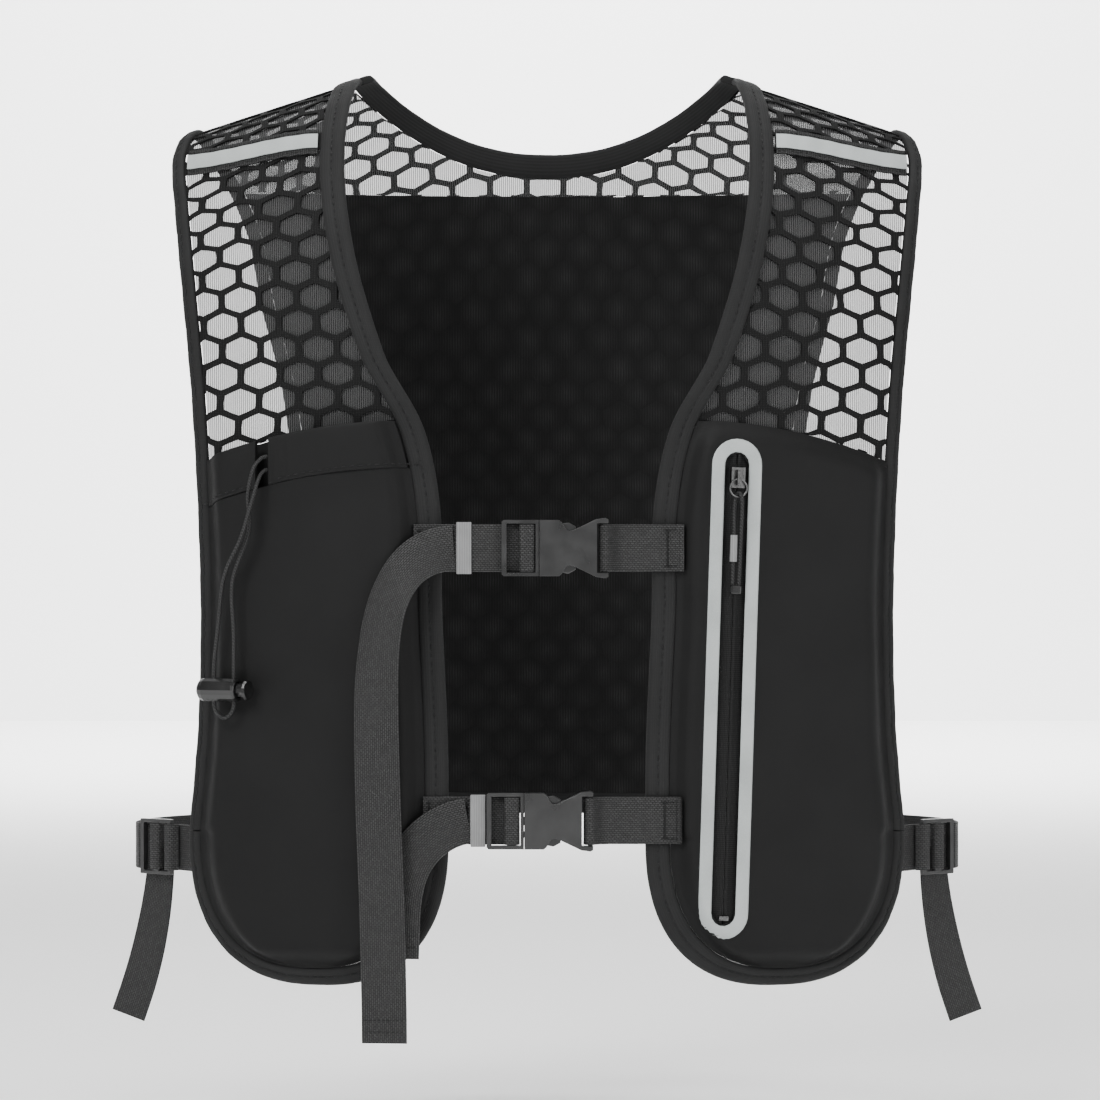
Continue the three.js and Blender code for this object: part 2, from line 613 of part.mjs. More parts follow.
add('cord_lock_barrel', shown(barrel), 'plastic', lockFrame);
add('cord_lock_plunger', shown(plunger), 'plastic', lockFrame);
const springTurns = 3;
const springStart = cavityLeft + gap + 0.5;
const springLength = plungerLow - gap - 0.5 - springStart;
const springRoute = range(springTurns * 8).map((t) => {
  const angle = t * springTurns * Math.PI * 2;
  return [springStart + t * springLength, 2.9 * Math.cos(angle), 2.9 * Math.sin(angle)];
});
add('cord_lock_spring', cordTube(springRoute, 0.8, springTurns * 10, 5), 'metal', lockFrame);

// ---- Chest straps ----

// where a chest strap leaves the front panel, and how far forward its buckle's rear lies
const leaveX = 54;
const buckleOut = sewnDepth(leaveX, 0) + webbing.thickness + 1.2;

function male(prefix, place) {
  const b = buckle;
  const half = b.height / 2;
  const inside = webbing.width / 2 + 0.4;
  const outline = [
    [-b.frame, -half + 1], [-b.frame + 1, -half], [0, -half],
    [0, half], [-b.frame + 1, half], [-b.frame, half - 1],
  ];
  const frame = solid(frontPlate(outline, 1.3, 7.3))
    .subtract(solid(block([-b.frame + 2.5, -9, -inside], [-8.8, 0, inside])))
    .subtract(solid(block([-3.8, -9, -inside], [-1.7, 0, inside])))
    .subtract(solid(block([-b.frame - 1, -3.7, -inside], [-b.frame + 2.6, -1, inside])))
    .subtract(solid(block([-9, -3, -inside], [-3.7, -1, inside])))
    .subtract(solid(block([-9, -8, -inside], [-3.7, -6, inside])))
    .add(solid(block([-0.1, -5.6, -2.2], [b.prong - 1, -3, 2.2])))
    .add(solid(block([-0.1, -5.6, -8.6], [3, -3, -5.4])))
    .add(solid(block([-0.1, -5.6, 5.4], [3, -3, 8.6])));
  add(`${prefix}_male_frame`, shown(frame), 'plastic', place);
  for (const [name, sign] of [['top', 1], ['bottom', -1]]) {
    const arm = [
      [3.3, 5.6], [11, 6.4], [12.2, 7], [b.prong, 7], [b.prong + 1.5, 9], [b.prong + 1.2, 11.4],
      [15.5, 13.4], [12.3, 12.8], [10.9, 10.6], [9, 9], [3.3, 8.4],
    ].map(([x, z]) => [x, sign * z]);
    add(`${prefix}_latch_${name}`, frontPlate(arm, 3, 5.6), 'plastic', place);
  }
}

function female(prefix, place) {
  const b = buckle;
  const top = [
    [gap, 14.7], [10.5, 14.7], [11.8, 13.6], [14.2, 9.8], [16, 8.9], [18.5, 9.6], [24, 12.2], [30, 15.1],
    [b.body - 1.5, 15.8], [b.body, 15], [b.body, 13.1], [30.4, 13.1],
  ];
  const outline = [...top, ...top.map(([x, z]) => [x, -z]).reverse()];
  const shell = solid(frontPlate(outline, 0, b.thickness))
    .subtract(solid(block([-1, -b.thickness + b.wall, -12.2], [21, -b.wall, 12.2])))
    .subtract(solid(block([-1, -b.thickness + b.wall, -14], [21.2, -b.wall, 14]))
      .intersect(solid(block([11.6, -20, -20], [30, 20, 20]))))
    .add(solid(block([33.5, -5.8, -13.4], [b.body - 0.2, -2.8, 13.4])));
  add(`${prefix}_female_body`, shown(shell), 'plastic', place);
}

// the webbing that wraps the male's bar, and the keeper on it
function maleWebbing(prefix, place, keeperAt) {
  const t = webbing.thickness;
  const half = webbing.width / 2;
  const [rear, front, over] = [-(0.2 + t / 2), -(0.2 + t * 1.5 + gap), -(6 + gap + t / 2)];
  const left = -8.8 - gap - t / 2;
  const right = -3.8 + gap + t / 2;
  const path = [
    [keeperAt - 1, rear], [right - 0.8, rear], [right, rear - 0.8], [right, over + 0.6], [right - 0.6, over],
    [left + 0.6, over], [left, over + 0.6], [left, front - 0.8], [left - 0.8, front], [keeperAt - 1, front],
  ];
  add(`${prefix}_male_webbing`, uprightStrip(path, t, -half, half), 'webbing', place);
  const k = keeperRing;
  const hole = [rear + t / 2 + gap, front - t / 2 - gap];
  const room = half + gap;
  const reach = room + k.wall;
  const outer = solid(block([keeperAt, hole[1] - k.wall, -reach], [keeperAt + k.length, hole[0] + k.wall, reach]));
  const inner = solid(block([keeperAt - 1, hole[1], -room], [keeperAt + k.length + 1, hole[0], room]));
  add(`${prefix}_keeper`, shown(outer.subtract(inner)), 'film', place);
  return front;
}

// how far forward the rear of webbing sewn over the binding and the pocket lies
function sewnDepth(x, z) {
  const fullest = Math.max(...[-0.5, 0, 0.5].map((k) => fullness(x, z + k * webbing.width, true)));
  const under = Math.max(binding.outer, frontLift + cloth.pocket + fullest);
  return torsoDepth(Math.max(Math.abs(x), leaveX), torso.frontDepth) + under + 2 * gap;
}

// the webbing sewn to the right front, looped round the female's bar
function femaleWebbing(prefix, strap, place) {
  const half = webbing.width / 2;
  const bar = { x: 34.9, out: 4.3 };
  const around = 2.1 + gap;
  const loop = arc(bar.x, -bar.out, around + webbing.thickness, 250, 110, 10).map(([x, y]) => [x, y]);
  const sewn = range(4).map((t) => lerp(56, strap.sewnRight, t));
  const rearOf = (x) => sewnDepth(x, strap.z) - buckleOut;
  const thick = webbing.thickness * 2;
  const rear = sewn.map((x) => [x - strap.meetX, -rearOf(x)]);
  const front = sewn.map((x) => [x - strap.meetX, -rearOf(x) - thick]);
  const outline = [...loop, ...rear, ...front.reverse()].map(([x, y]) => new THREE.Vector2(x, y));
  const shape = new THREE.Shape(outline);
  const barHole = arc(bar.x, -bar.out, around, 0, 337.5, 15).map(([x, y]) => new THREE.Vector2(x, y));
  shape.holes = [new THREE.Path(barHole)];
  const depth = webbing.width;
  const geometry = new THREE.ExtrudeGeometry(shape, { depth, bevelEnabled: false }).translate(0, 0, -half);
  add(`${prefix}_female_webbing`, geometry, 'webbing', place);
}

function chestStrap(prefix, strap) {
  const place = new THREE.Group();
  place.position.set(strap.meetX, -buckleOut, strap.z);
  vest.add(place);
  male(prefix, place);
  female(prefix, place);
  maleWebbing(prefix, place, strap.keeperX - strap.meetX);
  femaleWebbing(prefix, strap, place);
  const path = range(5).map((t) => {
    const x = lerp(strap.sewnLeft, -leaveX, t);
    return [x, -sewnDepth(x, strap.z) - webbing.thickness / 2];
  });
  path.push([strap.meetX - buckle.frame, path[path.length - 1][1]]);
  const half = webbing.width / 2;
  const strip = uprightStrip(path, webbing.thickness, strap.z - half, strap.z + half);
  add(`${prefix}_anchor_webbing`, strip, 'webbing');
}

chestStrap('upper', upperStrap);
chestStrap('lower', lowerStrap);

// loose ends of the chest straps, turning from level to hanging
function looseEnd(prefix, stations) {
  const list = stations.map(([x, y, z, lean, tilt]) => {
    const a = lean * Math.PI / 180;
    const b = tilt * Math.PI / 180;
    const side = new THREE.Vector3(-Math.sin(a) * Math.cos(b), Math.sin(b), Math.cos(a) * Math.cos(b));
    return { at: new THREE.Vector3(x, y, z), side };
  });
  add(`${prefix}_loose_end`, ribbon(list, tail.width, tail.thickness), 'webbing');
}

const looseY = -buckleOut - 0.2 - webbing.thickness * 1.5 - gap;
looseEnd('upper', [
  [-48.8, looseY, 1, 0, 0], [-56, looseY - 0.6, 0.2, 8, 5], [-64, looseY - 2.2, -2.6, 22, 14],
  [-72.5, looseY - 4.8, -9, 42, 24], [-79.5, looseY - 7, -19, 60, 30], [-84.5, looseY - 8.2, -32, 74, 30],
  [-87.6, looseY - 8.4, -50, 83, 26], [-89.2, looseY - 8, -78, 89, 14], [-88.4, looseY - 7.6, -130, 91, 6],
  [-86.4, looseY - 7.4, -184, 91, 6], [-85.2, looseY - 7, -236, 90, 8], [-85, looseY - 6.8, -258, 90, 8],
]);
looseEnd('lower', [
  [-41.4, looseY, -142, 0, 0], [-48, looseY - 0.2, -143.4, 10, 2], [-56, looseY - 0.8, -147, 26, 5],
  [-64.5, looseY - 1.4, -153.6, 45, 8], [-71.5, looseY - 1.8, -163, 62, 8], [-76, looseY - 2, -175, 76, 6],
  [-78.2, looseY - 2.6, -190, 86, 4], [-79, looseY - 3, -214, 90, 0],
]);

// ---- Side adjusters ----

function mirrored(geometry, sign) {
  const bare = geometry.clone();
  bare.deleteAttribute('normal');
  bare.deleteAttribute('uv');
  return facingOut(mergeVertices(bare, 1e-4).scale(sign, 1, 1));
}

const sideTurn = 38 * Math.PI / 180;
const sideCentre = [210.5, -42.4];

// from the slider's own along and out to the plan view
function bySlider([along, out]) {
  const [c, s] = [Math.cos(sideTurn), Math.sin(sideTurn)];
  return [sideCentre[0] + along * c + out * s, sideCentre[1] + along * s - out * c];
}

function sideAdjuster(side, sign) {
  const half = webbing.width / 2;
  const t = webbing.thickness;
  const far = sideStrap.sliderLength / 2;
  const rear = -(1.5 + gap + t / 2);
  const inside = half + 0.4;
  const outline = [[-far, -inside - 2], [far, -inside - 2], [far, inside + 2], [-far, inside + 2]];
  const frame = shown(solid(frontPlate(outline, -1.5, 1.5))
    .subtract(solid(block([-8.6, -3, -inside], [-2, 3, inside])))
    .subtract(solid(block([2, -3, -inside], [8.6, 3, inside]))))
    .rotateZ(sideTurn).translate(sideCentre[0], sideCentre[1], sideStrap.z);
  add(`${side}_side_slider`, mirrored(frame, sign), 'plastic');

  const underLobe = [174, 181, 188, 194].map((x) => {
    const p = lifted(x, sideStrap.z, binding.inner - gap - t / 2);
    return [p.x, p.y];
  });
  const hook = [
    [-15, rear], [-8.1, rear], [-7.4, rear + 0.8], [-7.4, 1.7], [-8.1, -rear], [-12, -rear], [-14.6, rear + t + gap],
  ];
  const low = sideStrap.z - half;
  const high = sideStrap.z + half;
  const stub = uprightStrip([...underLobe, ...hook.map(bySlider)], t, low, high);
  add(`${side}_side_stub`, mirrored(stub, sign), 'webbing');

  const wrap = [
    [-3.1, -1.2], [-3.1, 1.5], [-2.2, 1.8 + t / 2], [2.2, 1.8 + t / 2], [3.1, 1.5], [3.1, rear + 0.8],
    [4, rear], [12, rear],
  ];
  const around = [[221.2, -32], [223.4, -20], [221.5, -2], [214, 18], [203, 36], [188, 53]];
  const underBack = [172, 163, 154, 146].map((x) => {
    const p = lifted(x, 2 * crownS - sideStrap.z, binding.inner - 2 * gap - t / 2);
    return [p.x, p.y];
  });
  const strapPath = [...wrap.map(bySlider), ...around, ...underBack];
  add(`${side}_side_strap`, mirrored(uprightStrip(strapPath, t, low, high), sign), 'webbing');

  const hang = (along, out, z) => new THREE.Vector3(...bySlider([along, out]), z);
  const across = new THREE.Vector3(Math.cos(sideTurn), Math.sin(sideTurn), 0);
  const rest = rear - t / 2 - gap - tail.thickness / 2 - 0.4;
  const up = new THREE.Vector3(0, 0, 1);
  const stations = [0, 0.12, 0.24, 0.4, 0.6, 0.8, 1].map((k) => {
    const z = lerp(high - 12, sideStrap.z - sideStrap.tailDrop, k);
    const turned = across.clone().applyAxisAngle(up, -0.5 * ease(k));
    return { at: hang(1 + 15 * k * k + 3 * k, rest + 7 * k * k, z), side: turned.setZ(0.3 * ease(k * 2)).normalize() };
  });
  add(`${side}_side_loose_end`, mirrored(ribbon(stations, 19, tail.thickness), sign), 'webbing');
}

sideAdjuster('left', -1);
sideAdjuster('right', 1);

// ---- Back: yoke, panel, neck binding and hem ----

// the back neck edge as [x, s], from the wearer's one shoulder to the other
function neckLine(angle, inset) {
  const x = shoulder.neckX * Math.sin(angle);
  const z = 222.5 + 34.5 * Math.pow(Math.abs(x) / 93, 2.2);
  return [x + inset * Math.sin(angle), Math.max(crownS + gap, backS(x, z) + inset * Math.cos(angle))];
}

const neckAngles = heights(-Math.PI / 2, Math.PI / 2, 18);
const neckBand = neckAngles.map((a) => [neckLine(a, 0), neckLine(a, binding.neckWidth)]);
add('back_neck_binding', clothPiece(neckBand, binding.inner, binding.outer), 'binding');

const armInside = (s) => armEdge(s) - binding.armWidth - 2.5 * seam;
const crownArm = armInside(crownS);
const underNeck = neckAngles.map((a) => neckLine(a, binding.neckWidth + seam));
const neckEnd = underNeck[underNeck.length - 1][0];
const besideNeck = [1, 2, 3].map((i) => [lerp(neckEnd, crownArm, i / 3), crownS + gap]);
const yokeTop = [...besideNeck.map(([x, s]) => [-x, s]).reverse(), ...underNeck, ...besideNeck];
const yoke = range(5).map((r) => yokeTop.map(([x, s]) => {
  const seamX = x * armInside(backS(x, back.seamZ)) / crownArm;
  const low = backS(seamX, back.seamZ + gap);
  const at = lerp(s, low, r);
  return [Math.abs(x) > crownArm - 1 ? Math.sign(x) * armInside(at) : lerp(x, seamX, r), at];
}));
add('back_yoke', clothPiece(yoke, 0, cloth.mesh), 'mesh');

const hemLine = (x) => back.bottomZ - back.cornerDrop * ease((Math.abs(x) - 70) / 80) + binding.hemWidth;
const panelRows = range(12).map((r) => range(12).map((c) => {
  const z = lerp(back.seamZ - gap, back.bottomZ, r);
  const guess = (2 * c - 1) * armInside(backS(120, z));
  const s = backS(guess, lerp(back.seamZ - gap, hemLine(guess) + 2 * seam, r));
  return [(2 * c - 1) * armInside(s), s];
}));
add('back_panel', clothPiece(panelRows, 0, cloth.mesh), 'fabric');

const hemRows = range(12).map((c) => {
  const x = (2 * c - 1) * (armInside(2 * crownS - back.bottomZ) - 1);
  return [[x, 2 * crownS - hemLine(x)], [x, 2 * crownS - hemLine(x) + binding.hemWidth]];
});
add('back_hem_binding', clothPiece(hemRows, binding.inner, binding.outer - 1.6), 'binding');

export default vest;
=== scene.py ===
import math

import bpy
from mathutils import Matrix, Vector


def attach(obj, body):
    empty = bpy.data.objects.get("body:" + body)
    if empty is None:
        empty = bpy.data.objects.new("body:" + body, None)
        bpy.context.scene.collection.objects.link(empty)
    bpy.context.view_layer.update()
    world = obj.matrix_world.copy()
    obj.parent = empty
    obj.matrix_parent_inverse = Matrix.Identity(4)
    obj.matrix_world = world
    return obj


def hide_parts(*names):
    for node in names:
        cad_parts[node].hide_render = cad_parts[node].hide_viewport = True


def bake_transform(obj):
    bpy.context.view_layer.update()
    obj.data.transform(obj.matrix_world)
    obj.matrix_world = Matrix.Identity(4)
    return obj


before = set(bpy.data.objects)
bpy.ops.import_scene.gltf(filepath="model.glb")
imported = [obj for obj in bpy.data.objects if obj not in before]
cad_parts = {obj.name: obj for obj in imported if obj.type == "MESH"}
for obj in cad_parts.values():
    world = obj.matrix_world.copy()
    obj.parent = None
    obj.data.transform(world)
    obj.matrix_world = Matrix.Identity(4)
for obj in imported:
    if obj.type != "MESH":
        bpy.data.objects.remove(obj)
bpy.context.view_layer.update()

mm = 0.001


# Camera: level with the middle of the fronts, far back with a long lens

cameraSetup = {"distance": 2.6, "aside": 0.0016, "lens": 155.0, "sensor": 36.0}


def addCamera():
    bpy.ops.object.camera_add(
        location=(cameraSetup["aside"], -cameraSetup["distance"], 0), rotation=(math.pi / 2, 0, 0))
    camera = bpy.context.object
    camera.name = "Camera"
    camera.data.lens = cameraSetup["lens"]
    camera.data.sensor_width = cameraSetup["sensor"]
    bpy.context.scene.camera = camera


addCamera()
print("camera placed")


# The wearer's surface, in millimetres: x across, s up the front, over the shoulder and down the back

torso = {"halfWidth": 219, "frontDepth": 110, "backDepth": 100, "roundness": 2.2}
shoulder = {"armpitZ": 100, "neckX": 101, "neckZ": 256, "slope": 0.333, "softness": 40, "wrap": 215}
binding = {"neckWidth": 12.8, "armWidth": 7, "hemWidth": 12, "inner": -0.6, "outer": 3.6}
lobe = {"topZ": -150, "depth": 80, "roundness": 2.45, "bottomBand": 9}
pocket = {
    "bulge": 8, "ramp": 11, "mouthZ": 68, "mouthDrop": 21, "mouthStart": 75, "hemDepth": 25, "front": 1.8,
    "back": 1.5, "cloth": 1.2,
}
back = {"seamZ": 200, "bottomZ": -150, "cornerDrop": 26}
crownS = shoulder["armpitZ"] + shoulder["wrap"]


def lerp(a, b, t):
    return a + (b - a) * t


def ease(t):
    k = min(1, max(0, t))
    return k * k * (3 - 2 * k)


def through(knots):  # a smooth curve through knots of (place, value)
    slopes = []
    for i in range(len(knots)):
        before = knots[max(0, i - 1)]
        after = knots[min(len(knots) - 1, i + 1)]
        slopes.append((after[1] - before[1]) / (after[0] - before[0]))

    def at(place):
        i = 0
        while i < len(knots) - 2 and place > knots[i + 1][0]:
            i += 1
        span = knots[i + 1][0] - knots[i][0]
        t = min(1, max(0, (place - knots[i][0]) / span))
        t2, t3 = t * t, t * t * t
        return ((2 * t3 - 3 * t2 + 1) * knots[i][1] + (t3 - 2 * t2 + t) * span * slopes[i]
                + (3 * t2 - 2 * t3) * knots[i + 1][1] + (t3 - t2) * span * slopes[i + 1])
    return at


neckEdge = through([
    (-150, 51.5), (-100, 52), (-30, 55), (22, 56), (65, 65), (104, 86), (156, 102.6), (215, 108),
    (crownS, 101)])
armEdge = through([
    (-150, 190.5), (-90, 185.5), (-20, 184.5), (76, 189), (195, 199.8), (255, 203), (crownS, 196),
    (375, 187), (451, 167), (491, 161), (542, 149), (610, 142), (690, 144), (750, 158), (810, 172)])


def crownZ(x):
    spread = math.hypot(x, shoulder["softness"]) - math.hypot(shoulder["neckX"], shoulder["softness"])
    return shoulder["neckZ"] - shoulder["slope"] * spread


def torsoDepth(x, depth):
    n = torso["roundness"]
    return depth * max(0.02, 1 - (abs(x) / torso["halfWidth"]) ** n) ** (1 / n)


def surface(x, s):
    onBack = s > crownS
    v = 2 * crownS - s if onBack else s
    depth = torsoDepth(x, torso["backDepth"]) if onBack else -torsoDepth(x, torso["frontDepth"])
    if v <= shoulder["armpitZ"]:
        return Vector((x, depth, v))
    turn = (v - shoulder["armpitZ"]) / shoulder["wrap"] * math.pi / 2
    rise = crownZ(x) - shoulder["armpitZ"]
    return Vector((x, depth * math.cos(turn), shoulder["armpitZ"] + rise * math.sin(turn)))


def outward(x, s):
    across = surface(x + 0.5, s) - surface(x - 0.5, s)
    along = surface(x, s + 0.5) - surface(x, s - 0.5)
    return across.cross(along).normalized()


def onWearer(x, s, lift=0.0):  # a point above the wearer's surface, in metres
    return (surface(x, s) + outward(x, s) * lift) * mm


def backS(x, z):
    if z <= shoulder["armpitZ"]:
        return 2 * crownS - z
    share = min(1, (z - shoulder["armpitZ"]) / (crownZ(x) - shoulder["armpitZ"]))
    return 2 * crownS - shoulder["armpitZ"] - shoulder["wrap"] * math.asin(share) * 2 / math.pi


def mouth(x):
    past = max(0, abs(x) - pocket["mouthStart"]) / 106
    return pocket["mouthZ"] - pocket["mouthDrop"] * past * past


lobeLeft, lobeRight = neckEdge(lobe["topZ"]), armEdge(lobe["topZ"])
insideLeft, insideRight = lobeLeft + binding["neckWidth"], lobeRight - binding["armWidth"]
insideDepth = lobe["depth"] - lobe["bottomBand"]


def panelEdges(v, clear=0.6):  # a front panel's two edges inside its bindings
    if v >= lobe["topZ"]:
        return neckEdge(v) + binding["neckWidth"] + clear, armEdge(v) - binding["armWidth"] - clear
    middle, half = (insideLeft + insideRight) / 2, (insideRight - insideLeft) / 2
    depthShare = min(0.999, (lobe["topZ"] - v) / insideDepth)
    share = (1 - depthShare ** lobe["roundness"]) ** (1 / lobe["roundness"])
    return middle - half * share + 4 * clear, middle + half * share - 4 * clear


def fullness(x, v, closedTop):
    left, right = panelEdges(v)
    sides = ease((abs(x) - left) / pocket["ramp"]) * ease((right - abs(x)) / pocket["ramp"])
    bottom = ease((v - lobe["topZ"] + insideDepth) / pocket["ramp"])
    top = ease((mouth(x) - v) / pocket["ramp"]) if closedTop else 1
    return pocket["bulge"] * sides * bottom * top


# Modelling helpers

def nothingSelected():
    if bpy.context.object and bpy.context.object.mode != "OBJECT":
        bpy.ops.object.mode_set(mode="OBJECT")
    bpy.ops.object.select_all(action="DESELECT")


def onlySelected(piece):
    nothingSelected()
    piece.select_set(True)
    bpy.context.view_layer.objects.active = piece


def applyModifier(piece, kind, **settings):
    onlySelected(piece)
    modifier = piece.modifiers.new(kind.title(), kind)
    for key, value in settings.items():
        setattr(modifier, key, value)
    bpy.ops.object.modifier_apply(modifier=modifier.name)


def smoothByAngle(piece, degrees=40):
    onlySelected(piece)
    bpy.ops.object.shade_smooth_by_angle(angle=math.radians(degrees))


def fitted(piece, node, body, look):  # the piece takes its node's place, body and finish
    piece.data.materials.clear()
    piece.data.materials.append(look)
    if node:
        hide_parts(*([node] if isinstance(node, str) else node))
    if body:
        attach(piece, body)
    return piece


def shapedGrid(name, across, along, place, closed=False, facing=None):
    # a grid whose points go where place(u, w) says; its UV map is in metres of cloth
    nothingSelected()
    bpy.ops.mesh.primitive_grid_add(x_subdivisions=across, y_subdivisions=along, size=1, calc_uvs=True)
    piece = bpy.context.object
    piece.name = name
    mesh = piece.data
    mesh.name = name
    uvs = mesh.uv_layers.active.data
    spots = {}
    for vertex in mesh.vertices:
        point, flat = place(vertex.co.x + 0.5, vertex.co.y + 0.5)
        spots[vertex.index] = flat
        vertex.co = point
    for loop in mesh.loops:
        uvs[loop.index].uv = spots[loop.vertex_index]
    if closed:
        onlySelected(piece)
        bpy.ops.object.mode_set(mode="EDIT")
        bpy.ops.mesh.select_all(action="SELECT")
        bpy.ops.mesh.remove_doubles(threshold=0.00001)
        bpy.ops.mesh.fill_holes(sides=0)
        bpy.ops.mesh.select_all(action="SELECT")
        bpy.ops.mesh.normals_make_consistent(inside=False)
        bpy.ops.object.mode_set(mode="OBJECT")
    elif facing is not None:
        middle = mesh.polygons[len(mesh.polygons) // 2]
        if middle.normal.dot(facing) < 0:
            mesh.flip_normals()
    return piece


def meshFrom(name, points, faces):
    mesh = bpy.data.meshes.new(name)
    mesh.from_pydata([tuple(p) for p in points], [], faces)
    mesh.update()
    piece = bpy.data.objects.new(name, mesh)
    bpy.context.collection.objects.link(piece)
    return piece


def smoothPath(points, step):  # evenly spaced points on a smooth curve through the given ones
    fine = []
    for i in range(len(points) - 1):
        p0, p1 = points[max(0, i - 1)], points[i]
        p2, p3 = points[i + 1], points[min(len(points) - 1, i + 2)]
        for k in range(16):
            t = k / 16
            fine.append(0.5 * (2 * p1 + (p2 - p0) * t + (2 * p0 - 5 * p1 + 4 * p2 - p3) * t * t
                               + (3 * p1 - p0 - 3 * p2 + p3) * t ** 3))
    fine.append(points[-1].copy())
    total = sum((b - a).length for a, b in zip(fine, fine[1:]))
    count = max(2, round(total / step))
    result, travelled, i = [fine[0]], 0.0, 0
    for k in range(1, count):
        goal = total * k / count
        while travelled + (fine[i + 1] - fine[i]).length < goal:
            travelled += (fine[i + 1] - fine[i]).length
            i += 1
        result.append(fine[i].lerp(fine[i + 1], (goal - travelled) / (fine[i + 1] - fine[i]).length))
    result.append(fine[-1])
    return result


# Looks. Cloth reads its piece's UV map, which is in metres along and across the cloth

netSizes = {"across": 20.8, "row": 13.2, "strand": 3.3, "cross": 2.5, "thick": 0.9}


def newLook(name, color, roughness, **settings):
    look = bpy.data.materials.new(name)
    look.use_nodes = True
    shader = look.node_tree.nodes["Principled BSDF"]
    shader.inputs["Base Color"].default_value = (*color, 1)
    shader.inputs["Roughness"].default_value = roughness
    for key, value in settings.items():
        shader.inputs[key.replace("_", " ").title().replace("Ior", "IOR")].default_value = value
    return look


def addNode(look, kind, **values):
    made = look.node_tree.nodes.new(kind)
    for key, value in values.items():
        if hasattr(made, key):
            setattr(made, key, value)
        else:
            made.inputs[key.replace("_", " ").title()].default_value = value
    return made


def join(look, start, end):
    look.node_tree.links.new(start, end)


def clothPlace(look, source="UV", turn=0.0):
    where = addNode(look, "ShaderNodeTexCoord")
    mapping = addNode(look, "ShaderNodeMapping")
    mapping.inputs["Rotation"].default_value = (0, 0, math.radians(turn))
    join(look, where.outputs[source], mapping.inputs["Vector"])
    return mapping.outputs["Vector"]


def ribs(look, place, spacing, direction="X", uneven=0.0):  # spacing in millimetres
    wave = addNode(look, "ShaderNodeTexWave", bands_direction=direction, distortion=uneven)
    wave.inputs["Scale"].default_value = 0.314 / (spacing * mm)
    join(look, place, wave.inputs["Vector"])
    return wave.outputs["Fac"]


def patches(look, place, scale, detail=3.0):
    noise = addNode(look, "ShaderNodeTexNoise", scale=scale, detail=detail)
    join(look, place, noise.inputs["Vector"])
    return noise.outputs["Fac"]


def mixed(look, a, b, operation="ADD"):
    made = addNode(look, "ShaderNodeMath", operation=operation)
    for i, value in enumerate((a, b)):
        if isinstance(value, (int, float)):
            made.inputs[i].default_value = value
        else:
            join(look, value, made.inputs[i])
    return made.outputs[0]


def colored(look, amount, low, high, lowAt=0.0, highAt=1.0):
    ramp = addNode(look, "ShaderNodeValToRGB")
    ramp.color_ramp.elements[0].color = (*low, 1)
    ramp.color_ramp.elements[1].color = (*high, 1)
    ramp.color_ramp.elements[0].position = lowAt
    ramp.color_ramp.elements[1].position = highAt
    join(look, amount, ramp.inputs["Fac"])
    shader = look.node_tree.nodes["Principled BSDF"]
    join(look, ramp.outputs["Color"], shader.inputs["Base Color"])


def raised(look, height, depth, strength=1.0, under=None):  # depth in millimetres
    bump = addNode(look, "ShaderNodeBump")
    bump.inputs["Distance"].default_value = depth * mm
    bump.inputs["Strength"].default_value = strength
    join(look, height, bump.inputs["Height"])
    if under is not None:
        join(look, under, bump.inputs["Normal"])
    shader = look.node_tree.nodes["Principled BSDF"]
    join(look, bump.outputs["Normal"], shader.inputs["Normal"])
    return bump.outputs["Normal"]


def grey(value):
    return (value, value * 1.01, value * 1.015)


def wovenCloth(name, dark, light, thread, roughness, sheen, creases):
    look = newLook(name, grey(light), roughness, sheen_weight=sheen, sheen_roughness=0.4,
                   specular_ior_level=0.14)
    place = clothPlace(look)
    weave = mixed(look, ribs(look, place, thread), ribs(look, place, thread, "Y"), "MULTIPLY")
    soft = patches(look, place, 22.0)
    colored(look, mixed(look, mixed(look, weave, 0.45, "MULTIPLY"), mixed(look, soft, 0.55, "MULTIPLY")),
            grey(dark), grey(light), 0.15, 0.75)
    folds = raised(look, soft, creases)
    raised(look, weave, thread * 0.12, 0.8, folds)
    return look


def pocketClothLook():
    return wovenCloth("pocketCloth", 0.0050, 0.0095, 0.42, 0.55, 0.01, 1.1)


def edgeBindingLook():
    look = wovenCloth("edgeBinding", 0.011, 0.022, 0.7, 0.7, 0.03, 0.5)
    return look


def netKnitLook():
    look = newLook("netKnit", grey(0.008), 0.75, specular_ior_level=0.15)
    place = clothPlace(look)
    loops = mixed(look, ribs(look, place, 0.9, "Y", 1.0), ribs(look, place, 1.4, "X", 1.0), "MULTIPLY")
    colored(look, loops, grey(0.004), grey(0.013), 0.1, 0.9)
    raised(look, loops, 0.16)
    return look


def sheerKnitLook():
    look = newLook("sheerKnit", grey(0.05), 0.8, specular_ior_level=0.15)
    place = clothPlace(look)
    rows = ribs(look, place, 1.15, "X", 0.4)
    colored(look, rows, grey(0.022), grey(0.06), 0.1, 0.9)
    shader = look.node_tree.nodes["Principled BSDF"]
    cover = mixed(look, mixed(look, rows, 0.26, "MULTIPLY"), 0.68)
    join(look, cover, shader.inputs["Alpha"])
    look.surface_render_method = "BLENDED"
    return look


